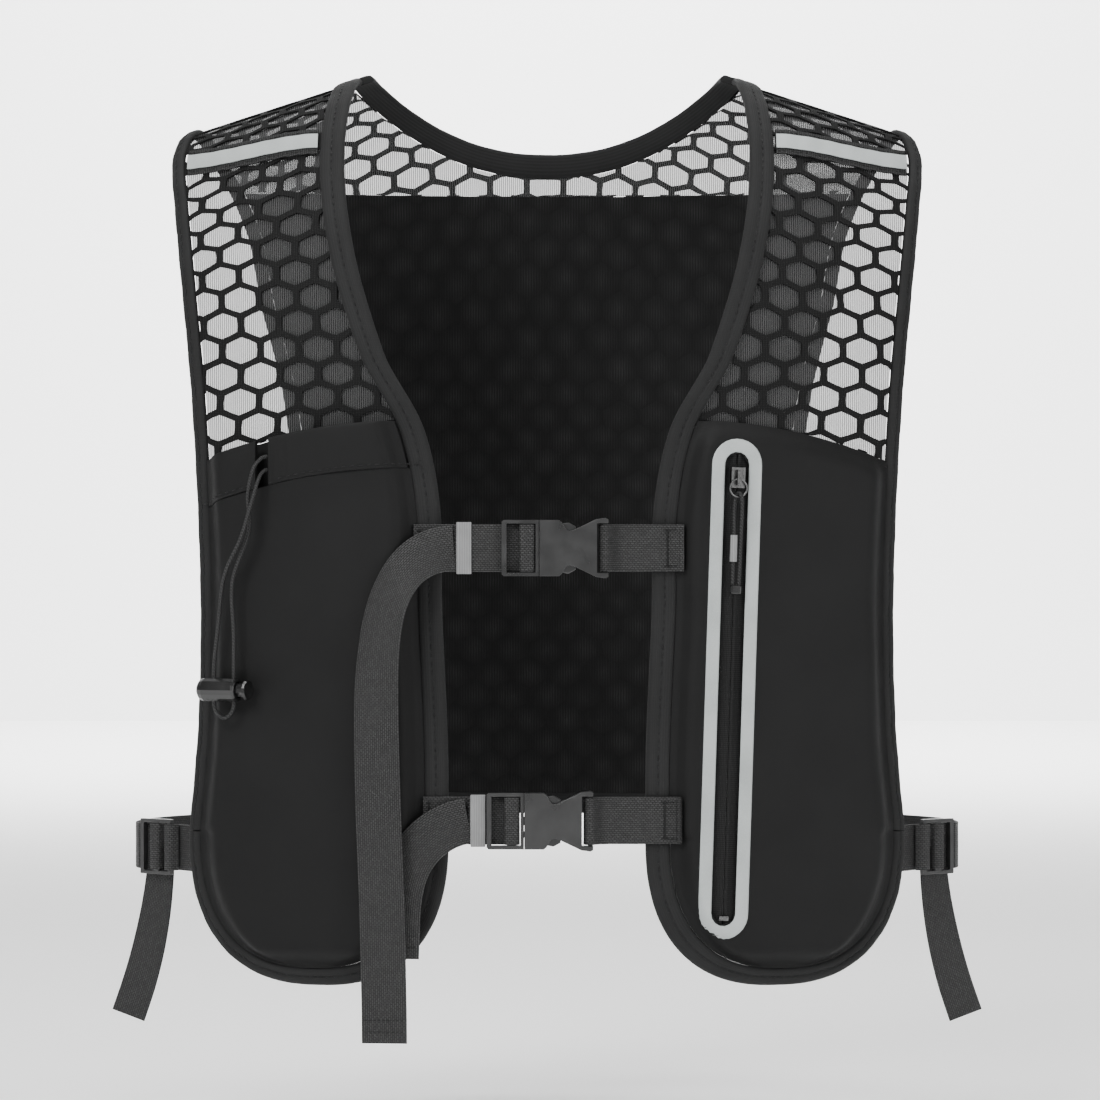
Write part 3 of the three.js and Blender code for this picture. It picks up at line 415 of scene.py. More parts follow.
def domes(look, place, wide, high):  # nearness to the middles of a hexagon pattern, sizes in millimetres
    near = []
    for shift in (0.0, 0.5):
        turned = addNode(look, "ShaderNodeMapping")
        turned.inputs["Scale"].default_value = (1 / (wide * mm), 1 / (2 * high * mm), 1)
        turned.inputs["Location"].default_value = (shift, shift, 0)
        join(look, place, turned.inputs["Vector"])
        middles = addNode(look, "ShaderNodeTexVoronoi", scale=1.0, randomness=0.0, voronoi_dimensions="2D")
        join(look, turned.outputs["Vector"], middles.inputs["Vector"])
        away = addNode(look, "ShaderNodeVectorMath", operation="SUBTRACT")
        join(look, turned.outputs["Vector"], away.inputs[0])
        join(look, middles.outputs["Position"], away.inputs[1])
        even = addNode(look, "ShaderNodeVectorMath", operation="MULTIPLY")
        even.inputs[1].default_value = (1, 1.5, 0)
        join(look, away.outputs["Vector"], even.inputs[0])
        far = addNode(look, "ShaderNodeVectorMath", operation="LENGTH")
        join(look, even.outputs["Vector"], far.inputs[0])
        near.append(far.outputs["Value"])
    return mixed(look, 1.0, mixed(look, *near, "MINIMUM"), "SUBTRACT")


def backLiningLook():
    look = newLook("backLining", grey(0.007), 0.8, specular_ior_level=0.2)
    place = clothPlace(look)
    rows = mixed(look, ribs(look, place, 1.5, "X", 1.2), patches(look, place, 60.0), "MULTIPLY")
    cells = domes(look, place, netSizes["across"], netSizes["row"])
    colored(look, mixed(look, rows, mixed(look, cells, cells, "MULTIPLY"), "MULTIPLY"),
            grey(0.0035), grey(0.017), 0.03, 0.45)
    raised(look, rows, 0.15, 1.0, raised(look, cells, 3.0))
    return look


def webbingLook():
    look = newLook("webbingWeave", grey(0.02), 0.6, specular_ior_level=0.28)
    place = clothPlace(look)
    picks = addNode(look, "ShaderNodeTexBrick", offset=0.5)
    for key, value in {"Scale": 1000.0, "Brick Width": 1.9, "Row Height": 1.1, "Mortar Size": 0.28,
                       "Mortar Smooth": 1.0}.items():
        picks.inputs[key].default_value = value
    picks.inputs["Color1"].default_value = (0.040, 0.040, 0.040, 1)
    picks.inputs["Color2"].default_value = (0.026, 0.026, 0.026, 1)
    picks.inputs["Mortar"].default_value = (0.004, 0.004, 0.004, 1)
    join(look, place, picks.inputs["Vector"])
    shader = look.node_tree.nodes["Principled BSDF"]
    join(look, picks.outputs["Color"], shader.inputs["Base Color"])
    raised(look, mixed(look, 1.0, picks.outputs["Fac"], "SUBTRACT"), 0.3)
    return look


def tapeRibLook(name, dark, light, spacing):
    look = newLook(name, grey(light), 0.7, specular_ior_level=0.2)
    place = clothPlace(look)
    rows = mixed(look, ribs(look, place, spacing), ribs(look, place, spacing * 1.3, "Y"), "MULTIPLY")
    colored(look, rows, grey(dark), grey(light), 0.05, 0.7)
    raised(look, rows, 0.18)
    return look


def reflectiveLook():
    look = newLook("reflectiveFilm", (0.34, 0.36, 0.355), 0.4, specular_ior_level=0.4)
    place = clothPlace(look, "Object")
    beads = addNode(look, "ShaderNodeTexVoronoi", scale=2600.0)
    join(look, place, beads.inputs["Vector"])
    soft = patches(look, place, 45.0)
    colored(look, mixed(look, mixed(look, beads.outputs["Distance"], 0.5, "MULTIPLY"), soft),
            (0.27, 0.29, 0.285), (0.39, 0.415, 0.41), 0.3, 0.9)
    folds = raised(look, soft, 0.5)
    raised(look, beads.outputs["Distance"], 0.02, 0.6, folds)
    return look


def keeperLook():
    look = newLook("keeperElastic", grey(0.28), 0.5)
    place = clothPlace(look, "Object")
    rows = ribs(look, place, 0.9, "X")
    wear = mixed(look, patches(look, place, 90.0), 0.5, "MULTIPLY")
    colored(look, mixed(look, mixed(look, rows, 0.5, "MULTIPLY"), wear),
            grey(0.13), grey(0.24), 0.2, 0.8)
    raised(look, rows, 0.08)
    return look


def mouldedLook(name="mouldedPlastic", dark=0.014, light=0.024, shine=0.3):
    look = newLook(name, grey(light), shine, specular_ior_level=0.55)
    place = clothPlace(look, "Object")
    soft = patches(look, place, 120.0)
    grain = patches(look, place, 2600.0, 2.0)
    colored(look, soft, grey(dark), grey(light), 0.3, 0.7)
    shader = look.node_tree.nodes["Principled BSDF"]
    rough = mixed(look, mixed(look, soft, 0.18, "MULTIPLY"), shine - 0.08)
    join(look, rough, shader.inputs["Roughness"])
    raised(look, grain, 0.05, 0.5)
    return look


def platedLook():
    look = newLook("platedMetal", (0.12, 0.12, 0.12), 0.3, metallic=1.0)
    place = clothPlace(look, "Object")
    wear = patches(look, place, 500.0)
    shader = look.node_tree.nodes["Principled BSDF"]
    join(look, mixed(look, mixed(look, wear, 0.25, "MULTIPLY"), 0.18), shader.inputs["Roughness"])
    colored(look, wear, (0.10, 0.10, 0.10), (0.15, 0.15, 0.15), 0.3, 0.7)
    raised(look, wear, 0.02)
    return look


def braidLook():
    look = newLook("braidedCord", grey(0.02), 0.6, specular_ior_level=0.25)
    slant = clothPlace(look, "Object", 0)
    one = addNode(look, "ShaderNodeTexWave", bands_direction="DIAGONAL")
    one.inputs["Scale"].default_value = 0.314 / (0.9 * mm)
    join(look, slant, one.inputs["Vector"])
    strands = mixed(look, one.outputs["Fac"], ribs(look, slant, 0.8, "Z"), "MULTIPLY")
    colored(look, strands, grey(0.008), grey(0.045), 0.05, 0.8)
    raised(look, strands, 0.14)
    return look


def threadLook():
    look = newLook("stitchThread", grey(0.006), 0.55, specular_ior_level=0.25)
    place = clothPlace(look, "Object")
    twist = patches(look, place, 1800.0, 2.0)
    colored(look, twist, grey(0.003), grey(0.010), 0.3, 0.7)
    raised(look, twist, 0.05)
    return look


looks = {
    "pocketCloth": pocketClothLook(), "edgeBinding": edgeBindingLook(), "netKnit": netKnitLook(),
    "sheerKnit": sheerKnitLook(), "backLining": backLiningLook(), "webbing": webbingLook(),
    "shoulderTape": tapeRibLook("shoulderTape", 0.006, 0.045, 1.0),
    "zipTape": tapeRibLook("zipTape", 0.004, 0.016, 0.8),
    "reflective": reflectiveLook(), "keeper": keeperLook(), "plastic": mouldedLook(),
    "glossPlastic": mouldedLook("glossPlastic", 0.006, 0.012, 0.2), "metal": platedLook(),
    "cord": braidLook(), "thread": threadLook(),
}
print("looks made:", len(looks))


# Cloth panels, each a sheet on the wearer that is thickened outwards

def clothSheet(name, across, along, flat, lift, thick, facing=(0, -1, 0)):
    # flat(u, w) gives x, s and an extra lift in millimetres
    def place(u, w):
        x, s, extra = flat(u, w)
        return onWearer(x, s, lift + extra), (x * mm, s * mm)
    piece = shapedGrid(name, across, along, place, facing=Vector(facing))
    if thick > 0:
        applyModifier(piece, "SOLIDIFY", thickness=thick * mm, offset=1)
    smoothByAngle(piece, 50)
    return piece


def crease(x, s, size):  # slow folds of soft cloth, in millimetres
    return size * (math.sin(x * 0.071 + s * 0.023) * math.sin(s * 0.041 - x * 0.03)
                   + 0.5 * math.sin(x * 0.13 - s * 0.06))


def pocketFull(x, v, closedTop):  # the pocket's bulge and the slow folds in it
    full = fullness(x, v, closedTop)
    return full + min(1, full / pocket["bulge"] * 1.5) * crease(x, v, 0.35)


def pocketFlat(sign, drop, low, closedTop, bulging, top):
    lowest = lobe["topZ"] - 0.999 * insideDepth

    def flat(u, w):
        height = lerp(lowest, top, w ** 1.8)
        guess = lerp(*panelEdges(height, 0.05), u)
        settled = ease((height - low) / (top - low))
        v = height - settled * (pocket["mouthZ"] - mouth(guess) + drop)
        x = lerp(*panelEdges(v, 0.05), u)
        return sign * x, v, pocketFull(x, v, closedTop) if bulging else 0
    return flat


def frontPanels():
    for side, sign in (("left", -1), ("right", 1)):
        shape = pocketFlat(sign, 0.3, -40, False, False, pocket["mouthZ"])
        piece = clothSheet(f"{side}PocketBack", 24, 72, shape, 0, pocket["back"])
        fitted(piece, f"{side}_pocket_back", "vest", looks["pocketCloth"])
    hemRow = pocket["mouthZ"] - pocket["hemDepth"]
    shape = pocketFlat(-1, 0, -60, False, True, hemRow)
    piece = clothSheet("leftPocketFront", 44, 100, shape, pocket["front"], pocket["cloth"])
    fitted(piece, "left_pocket_front", "vest", looks["pocketCloth"])
    shape = pocketFlat(1, 0.3, -40, True, True, pocket["mouthZ"])
    return clothSheet("rightPocketFront", 48, 110, shape, pocket["front"], pocket["cloth"])


hemCut = {"start": 142.75, "end": 149.25, "thick": 2.6}


def pocketHems():  # the left pocket's mouth: a doubled fold that the drawcord gathers
    for name, node, ends in (("hemInner", "left_pocket_hem_inner", (insideLeft, hemCut["start"])),
                             ("hemOuter", "left_pocket_hem_outer", (hemCut["end"], insideRight))):
        def place(u, w):
            around = 2 * math.pi * w
            half = pocket["hemDepth"] / 2
            corner = 2 / 9
            below = half - half * math.copysign(abs(math.sin(around)) ** corner, math.sin(around))
            rise = 0.5 + 0.5 * math.copysign(abs(math.cos(around)) ** 0.5, math.cos(around))
            right = panelEdges(mouth(ends[1]) - below)[1]
            first = max(ends[0], panelEdges(mouth(ends[0]) - below)[0] + 0.3)
            x = lerp(first, min(ends[1], right - 0.3), u)
            v = mouth(x) - below
            gather = 0.5 * math.sin(x * 1.1) * math.exp(-abs(x - 146) / 14)
            lift = pocket["front"] + fullness(x, v, False) + hemCut["thick"] * rise + gather * rise
            return onWearer(-x, v, lift), (x * mm, v * mm)
        piece = shapedGrid(name, 30 if name == "hemInner" else 14, 36, place, closed=True)
        smoothByAngle(piece, 60)
        fitted(piece, node, "vest", looks["pocketCloth"])


def pocketStitches():
    def hemRow(t):
        x = lerp(insideLeft + 1.5, insideRight - 1.5, t)
        return x, mouth(x) - pocket["hemDepth"] + 2.2

    spots = [hemRow(k / 120) for k in range(121)]
    lift = [pocket["front"] + fullness(x, v, False) + hemCut["thick"] - 0.05 for x, v in spots]
    for name, keep in (("hemStitchesInner", lambda x: x < hemCut["start"] - 1.5),
                       ("hemStitchesOuter", lambda x: x > hemCut["end"] + 1.5)):
        points = [onWearer(-x, v, up) for (x, v), up in zip(spots, lift) if keep(x)]
        normals = [outward(-x, v) for x, v in spots if keep(x)]
        piece = stitchesAlong(name, points, normals)
        fitted(piece, None, "vest", looks["thread"])

    def topRow(t):
        x = lerp(insideLeft + 2.5, insideRight - 2.5, t)
        return x, mouth(x) - 3.4

    spots = [topRow(k / 120) for k in range(121)]
    points = [onWearer(x, v, pocket["front"] + 1.15 + pocketFull(x, v, True)) for x, v in spots]
    piece = stitchesAlong("pocketTopStitches", points, [outward(x, v) for x, v in spots])
    fitted(piece, None, "vest", looks["thread"])


# Edge bindings: a folded band with a stitch groove along its middle

bandProfile = {"front": 3.6, "groove": 0.45, "rear": -0.6, "round": 1.2}


def bandShape(width, front):
    rear, groove, soft = bandProfile["rear"], bandProfile["groove"], bandProfile["round"]
    return [(0, 1.2), (0.35, front - 1.4), (soft, front - 0.35), (soft + 1.2, front),
            (width * 0.42, front), (width * 0.5, front - groove), (width * 0.58, front),
            (width - 1.6, front - 0.15), (width - 0.5, front - 0.7), (width, front - 1.5),
            (width - 0.1, 0.2), (width - 0.8, rear), (width * 0.5, rear), (1.3, rear), (0.25, 0)]


def edgeBand(name, line, steps, front):  # line(t) gives the free edge and the inner edge, as (x, s)
    def place(u, w):
        (x0, s0), (x1, s1) = line(w)
        width = math.hypot(x1 - x0, s1 - s0)
        shape = bandShape(width, front)
        k = round(u * len(shape)) % len(shape)
        share, lift = shape[k][0] / width, shape[k][1]
        pull = 0.25 * math.sin(w * steps * 0.9) + 0.15 * math.sin(w * steps * 2.3)
        raisedBy = pull * (0.6 if lift > 1 else 0)
        spot = onWearer(lerp(x0, x1, share), lerp(s0, s1, share), lift + raisedBy)
        return spot, (u * 0.03, w * steps * 0.004)
    piece = shapedGrid(name, 15, steps, place, closed=True)
    smoothByAngle(piece, 55)
    return piece


def lobePoint(angle, sign, left, right, depth):
    power = 2 / lobe["roundness"]
    c, s = math.cos(angle), math.sin(angle)
    reach = (right - left) / 2 * math.copysign(abs(c) ** power, c)
    return sign * ((left + right) / 2 + reach), lobe["topZ"] - depth * max(0, s) ** power


def frontBandLine(sign):  # from the outer side of the lobe, round its bottom and up to the shoulder
    def line(t):
        if t < 0.42:
            angle = lerp(0.002, math.pi, t / 0.42)
            return (lobePoint(angle, sign, lobeLeft, lobeRight, lobe["depth"]),
                    lobePoint(angle, sign, insideLeft, insideRight, insideDepth))
        s = lerp(lobe["topZ"], crownS - 0.3, (t - 0.42) / 0.58)
        return (sign * neckEdge(s), s), (sign * (neckEdge(s) + binding["neckWidth"]), s)
    return line


def armBandLine(sign):
    lowest = 2 * crownS - back["bottomZ"] + back["cornerDrop"]

    def line(t):
        s = lerp(lobe["topZ"] + 0.3, lowest, t)
        return (sign * armEdge(s), s), (sign * (armEdge(s) - binding["armWidth"]), s)
    return line


def neckPoint(angle, inset):
    x = shoulder["neckX"] * math.sin(angle)
    z = 222.5 + 34.5 * (abs(x) / 93) ** 2.2
    return x + inset * math.sin(angle), max(crownS + 0.3, backS(x, z) + inset * math.cos(angle))


def neckBandLine(t):
    angle = lerp(-math.pi / 2, math.pi / 2, t)
    return neckPoint(angle, 0), neckPoint(angle, binding["neckWidth"])


def hemLine(x):
    return back["bottomZ"] - back["cornerDrop"] * ease((abs(x) - 70) / 80) + binding["hemWidth"]


def armInside(s):
    return armEdge(s) - binding["armWidth"] - 0.15


def hemBandLine(t):
    x = (2 * t - 1) * (armInside(2 * crownS - back["bottomZ"]) - 1)
    top = 2 * crownS - hemLine(x)
    return (x, top + binding["hemWidth"]), (x, top)


# Stitches: short spindles of thread laid along a line

stitch = {"length": 3.0, "spacing": 4.5, "radius": 0.38, "sides": 5}


def stitchesAlong(name, points, normals, spacing=None, length=None, radius=None):
    spacing, length = spacing or stitch["spacing"], length or stitch["length"]
    radius = radius or stitch["radius"]
    sides = stitch["sides"]
    rings = ((-0.5, 0.15, -0.5), (-0.3, 0.9, 0.1), (0.3, 0.9, 0.1), (0.5, 0.15, -0.5))
    verts, faces = [], []
    travelled = 0.0
    goal = spacing * 0.5
    for a, b, normal in zip(points, points[1:], normals):
        step = (b - a).length / mm
        while step > 0 and travelled + step >= goal:
            at = a.lerp(b, (goal - travelled) / step)
            way = (b - a).normalized()
            side = way.cross(normal).normalized()
            start = len(verts)
            for along, wide, high in rings:
                for k in range(sides):
                    turn = 2 * math.pi * k / sides
                    verts.append(at + way * along * length * mm
                                 + (side * math.cos(turn) + normal * math.sin(turn)) * radius * wide * mm
                                 + normal * high * radius * mm)
            for r in range(3):
                for k in range(sides):
                    n = (k + 1) % sides
                    faces.append([start + r * sides + k, start + r * sides + n,
                                  start + (r + 1) * sides + n, start + (r + 1) * sides + k])
            faces.append([start + k for k in reversed(range(sides))])
            faces.append([start + 3 * sides + k for k in range(sides)])
            goal += spacing
        travelled += step
    piece = meshFrom(name, verts, faces)
    onlySelected(piece)
    bpy.ops.object.mode_set(mode="EDIT")
    bpy.ops.mesh.select_all(action="SELECT")
    bpy.ops.mesh.normals_make_consistent(inside=False)
    bpy.ops.object.mode_set(mode="OBJECT")
    bpy.ops.object.shade_smooth()
    return piece


def stitchesOnWearer(name, flat, steps, lift, body="vest", slot="binding", **sizes):
    # flat(t) gives x and s
    spots = [flat(k / steps) for k in range(steps + 1)]
    points = [onWearer(x, s, lift) for x, s in spots]
    normals = [outward(x, s) for x, s in spots]
    piece = stitchesAlong(name, points, normals, **sizes)
    return fitted(piece, None, body, looks["thread"])


def bandMiddle(line, share=0.5):
    def flat(t):
        (x0, s0), (x1, s1) = line(t)
        return lerp(x0, x1, share), lerp(s0, s1, share)
    return flat


def bindings():
    grooveLift = binding["outer"] - bandProfile["groove"] + 0.12
    for side, sign in (("left", -1), ("right", 1)):
        for kind, line, steps in (("front", frontBandLine(sign), 190), ("armhole", armBandLine(sign), 220)):
            name = f"{side}{kind.title()}Binding"
            band = edgeBand(name, line, steps, binding["outer"])
            fitted(band, f"{side}_{kind}_binding", "vest", looks["edgeBinding"])
            stitchesOnWearer(name + "Stitches", bandMiddle(line), steps * 2, grooveLift)
    band = edgeBand("backNeckBinding", neckBandLine, 90, binding["outer"])
    fitted(band, "back_neck_binding", "vest", looks["edgeBinding"])
    stitchesOnWearer("backNeckStitches", bandMiddle(neckBandLine), 180, grooveLift)
    band = edgeBand("backHemBinding", hemBandLine, 90, binding["outer"] - 1.6)
    fitted(band, "back_hem_binding", "vest", looks["edgeBinding"])
    stitchesOnWearer("backHemStitches", bandMiddle(hemBandLine), 180, grooveLift - 1.6)


# Hexagon net: rings round open cells, trimmed at a panel's edges

def cellRing(cx, cs, wide, high):
    # outer corners and midpoints of a pointed-top hexagon, and the rounded opening inside it
    third = high * 2 / 3
    corners = [(0, third), (wide / 2, third / 2), (wide / 2, -third / 2),
               (0, -third), (-wide / 2, -third / 2), (-wide / 2, third / 2)]
    hole = []
    outer = []
    for i in range(6):
        a, b = corners[i], corners[(i + 1) % 6]
        before = corners[i - 1]
        shrinkX = 1 - netSizes["strand"] / wide
        shrinkS = 1 - netSizes["cross"] / high
        inner = lambda p: (p[0] * shrinkX, p[1] * shrinkS)
        p, q, r = inner(before), inner(a), inner(b)
        outer.append((cx + a[0], cs + a[1]))
        outer.append((cx + (a[0] + b[0]) / 2, cs + (a[1] + b[1]) / 2))
        cornerIn = (q[0] * 0.94 + (p[0] + r[0]) * 0.03, q[1] * 0.94 + (p[1] + r[1]) * 0.03)
        hole.append((cx + cornerIn[0], cs + cornerIn[1]))
        hole.append((cx + (q[0] + r[0]) / 2, cs + (q[1] + r[1]) / 2))
    return outer, hole


def hexNet(name, sRange, xRange, clampTo, lift, facing=(0, -1, 0)):
    # clampTo(x, s) brings a spot inside the panel
    wide, high = netSizes["across"], netSizes["row"]
    verts, faces, flats = [], [], []
    known = {}

    def vertex(spot):
        x = spot[0] + 1.3 * math.sin(spot[1] * 0.047 + spot[0] * 0.021)
        s = spot[1] + 1.6 * math.sin(spot[0] * 0.052 + 1.1) * math.sin(spot[1] * 0.03)
        x, s = clampTo(x, s)
        key = (round(x, 2), round(s, 2))
        if key not in known:
            known[key] = len(verts)
            verts.append(onWearer(x, s, lift))
            flats.append((x * mm, s * mm))
        return known[key]

    rows = int((sRange[1] - sRange[0]) / high) + 2
    columns = int((xRange[1] - xRange[0]) / wide) + 3
    for r in range(rows):
        for c in range(columns):
            cx = xRange[0] + wide * (c - 0.5) + (wide / 2 if r % 2 else 0)
            cs = sRange[0] + high * (r - 0.3)
            nearX, nearS = clampTo(cx, cs)
            if abs(nearX - cx) > wide * 0.62 or abs(nearS - cs) > high * 0.72:
                continue
            outer, hole = cellRing(cx, cs, wide, high)
            ring = [(vertex(o), vertex(h)) for o, h in zip(outer, hole)]
            for k in range(12):
                (a, b), (d, e) = ring[k], ring[(k + 1) % 12]
                face = list(dict.fromkeys([a, d, e, b]))
                if len(face) > 2:
                    faces.append(face)
    piece = meshFrom(name, verts, faces)
    mesh = piece.data
    uvs = mesh.uv_layers.new(name="UVMap").data
    for loop in mesh.loops:
        uvs[loop.index].uv = flats[loop.vertex_index]
    onlySelected(piece)
    bpy.ops.object.mode_set(mode="EDIT")
    bpy.ops.mesh.select_all(action="SELECT")
    bpy.ops.mesh.dissolve_degenerate(threshold=0.00005)
    bpy.ops.mesh.normals_make_consistent(inside=False)
    bpy.ops.object.mode_set(mode="OBJECT")
    total = sum((polygon.normal * polygon.area for polygon in mesh.polygons), Vector())
    if total.dot(Vector(facing)) < 0:
        mesh.flip_normals()
    applyModifier(piece, "SOLIDIFY", thickness=netSizes["thick"] * mm, offset=1)
    smoothByAngle(piece, 50)
    return piece


def inFront(sign):
    def clampTo(x, s):
        top = crownS - 0.5
        guess = min(max(abs(x), 60), 205)
        s = min(max(s, mouth(guess) + 0.5), top)
        left, right = panelEdges(s, 0.05)
        return sign * min(max(abs(x), left), right), s
    return clampTo


def inYoke(x, s):
    edge = armInside(s) + 1
    x = min(max(x, -edge), edge)
    neckTop = crownS + 0.5
    if abs(x) < 113:
        angle = math.asin(min(1, abs(x) / 114))
        neckTop = max(neckTop, neckPoint(angle, binding["neckWidth"])[1])
    return x, min(max(s, neckTop), backS(min(abs(x), 170), back["seamZ"]))


def inBack(x, s):
    edge = armInside(s) + 1
    x = min(max(x, -edge), edge)
    return x, min(max(s, backS(min(abs(x), 170), back["seamZ"] - 0.3)), 2 * crownS - hemLine(x) - 0.5)


def meshPanels():
    for side, sign in (("left", -1), ("right", 1)):
        reach = (62, 205) if sign > 0 else (-205, -62)
        net = hexNet(f"{side}FrontNet", (44, crownS), reach, inFront(sign), 0.7)
        fitted(net, f"{side}_front_mesh", "vest", looks["netKnit"])

        def flat(u, w):
            guess = lerp(*panelEdges(lerp(pocket["mouthZ"], crownS, w)), u)
            s = lerp(mouth(guess), crownS - 0.3, w)
            return sign * lerp(*panelEdges(s, 0.05), u), s, crease(guess, s, 0.25)
        sheer = clothSheet(f"{side}FrontSheer", 24, 40, flat, 0.1, 0)
        fitted(sheer, f"{side}_front_mesh", "vest", looks["sheerKnit"])
    net = hexNet("yokeNet", (crownS, backS(0, back["seamZ"]) + 10), (-200, 200), inYoke, 0.5, (0, 1, 0.5))
    fitted(net, "back_yoke", "vest", looks["netKnit"])

    def yokeFlat(u, w):
        x = lerp(-1, 1, u) * (armInside(crownS) + 0.5)
        top = inYoke(x, crownS)[1]
        at = lerp(top, backS(x * 0.86, back["seamZ"]), w)
        share = armInside(at) / armInside(crownS)
        return x * lerp(1, share, w), at, 0
    sheer = clothSheet("yokeSheer", 60, 16, yokeFlat, 0.1, 0, (0, 1, 0.5))
    fitted(sheer, "back_yoke", "vest", looks["sheerKnit"])
    rows = (backS(0, back["seamZ"]) - 4, 2 * crownS - back["bottomZ"])
    net = hexNet("backNet", rows, (-180, 180), inBack, 0.9, (0, 1, 0))
    fitted(net, "back_panel", "vest", looks["netKnit"])

    def liningFlat(u, w):
        z = lerp(back["seamZ"] - 0.3, back["bottomZ"], w)
        guess = (2 * u - 1) * armInside(backS(120, z))
        s = backS(guess, lerp(back["seamZ"] - 0.3, hemLine(guess) - 0.5, w))
        return (2 * u - 1) * armInside(s), s, crease(guess, s, 0.4)
    lining = clothSheet("backLining", 48, 60, liningFlat, 0.0, 0.7, (0, 1, 0))
    fitted(lining, "back_panel", "vest", looks["backLining"])


# Webbing: a flat strap with rounded edges along a path

def strapPiece(name, spots, sides, width, thick, step=3.0):
    # spots are points in millimetres, sides the strap's own across direction at each
    path = smoothPath(spots, step)
    count = len(path)
    ways = [(path[min(count - 1, i + 1)] - path[max(0, i - 1)]).normalized() for i in range(count)]
    lengths = [0.0]
    for a, b in zip(path, path[1:]):
        lengths.append(lengths[-1] + (b - a).length)
    total = lengths[-1]
    marks = [0.0]
    for a, b in zip(spots, spots[1:]):
        marks.append(marks[-1] + (b - a).length)
    w2, t2 = width / 2, thick / 2
    profile = [(-w2, 0), (-w2 + 0.15, t2 * 0.7), (-w2 + 0.6, t2), (-w2 + 2.2, t2 * 0.86), (0, t2 * 0.92),
               (w2 - 2.2, t2 * 0.86), (w2 - 0.6, t2), (w2 - 0.15, t2 * 0.7), (w2, 0), (w2 - 0.15, -t2 * 0.7),
               (w2 - 0.6, -t2), (0, -t2 * 0.92), (-w2 + 0.6, -t2), (-w2 + 0.15, -t2 * 0.7)]

    def sideAt(i):
        goal = lengths[i] / total * marks[-1]
        k = 0
        while k < len(marks) - 2 and goal > marks[k + 1]:
            k += 1
        t = (goal - marks[k]) / (marks[k + 1] - marks[k])
        side = sides[k].lerp(sides[k + 1], min(1, max(0, t)))
        return (side - ways[i] * side.dot(ways[i])).normalized()

    def place(u, w):
        i = round(w * (count - 1))
        k = round(u * len(profile)) % len(profile)
        side = sideAt(i)
        normal = ways[i].cross(side)
        across, high = profile[k]
        along = lengths[i] * mm
        edgeOn = width / 2 + across if u < 0.6 else width / 2 - across
        return (path[i] + side * across + normal * high) * mm, (along, edgeOn * mm)
    piece = shapedGrid(name, len(profile), count - 1, place, closed=True)
    smoothByAngle(piece, 50)
    return piece, path, [sideAt(i) for i in range(count)]


def fromPlan(path, z):  # points of a strap seen from above, with upright edges
    points = [Vector((x, y, z)) for x, y in path]
    return points, [Vector((0, 0, 1))] * len(points)


webbing = {"width": 25, "thick": 1.4}
buckle = {"out": 114.473, "frame": 19.5, "body": 36.3, "thick": 8.6}
chestStraps = {
    "upper": {"meetX": -4.2, "z": 1, "keeperX": -47.4, "sewnLeft": -70, "sewnRight": 72, "sewn": 12},
    "lower": {"meetX": -12.1, "z": -142, "keeperX": -40.1, "sewnLeft": -65, "sewnRight": 70.5, "sewn": 4},
}


def sewnDepth(x, z):
    full = max(fullness(x, z + k * webbing["width"], True) for k in (-0.5, 0, 0.5))
    under = max(binding["outer"], pocket["front"] + pocket["cloth"] + full)
    return torsoDepth(max(abs(x), 54), torso["frontDepth"]) + under + 0.6


def bartack(name, x, z, height, depth, body):  # a dense upright bar of thread
    points = [Vector((x, -depth, z - height / 2)) * mm, Vector((x, -depth, z + height / 2)) * mm]
    piece = stitchesAlong(name, points, [Vector((0, -1, 0))], spacing=0.62, length=1.5, radius=0.34)
    onlySelected(piece)
    middle = sum((v.co for v in piece.data.vertices), Vector()) / len(piece.data.vertices)
    for vertex in piece.data.vertices:  # the thread lies across the bar
        offset = vertex.co - middle
        vertex.co.x += (offset.z % (0.00124)) * 0.6
    return fitted(piece, None, body, looks["thread"])


def stitchBox(name, x0, x1, z, half, depthAt, body):  # two rows of stitches along a sewn end
    for row, at in (("Top", z + half), ("Low", z - half)):
        points = [Vector((lerp(x0, x1, k / 12), -depthAt(lerp(x0, x1, k / 12)), at)) * mm for k in range(13)]
        normals = [Vector((0, -1, 0))] * len(points)
        piece = stitchesAlong(f"{name}{row}", points, normals, spacing=2.6, length=1.9, radius=0.3)
        fitted(piece, None, body, looks["thread"])


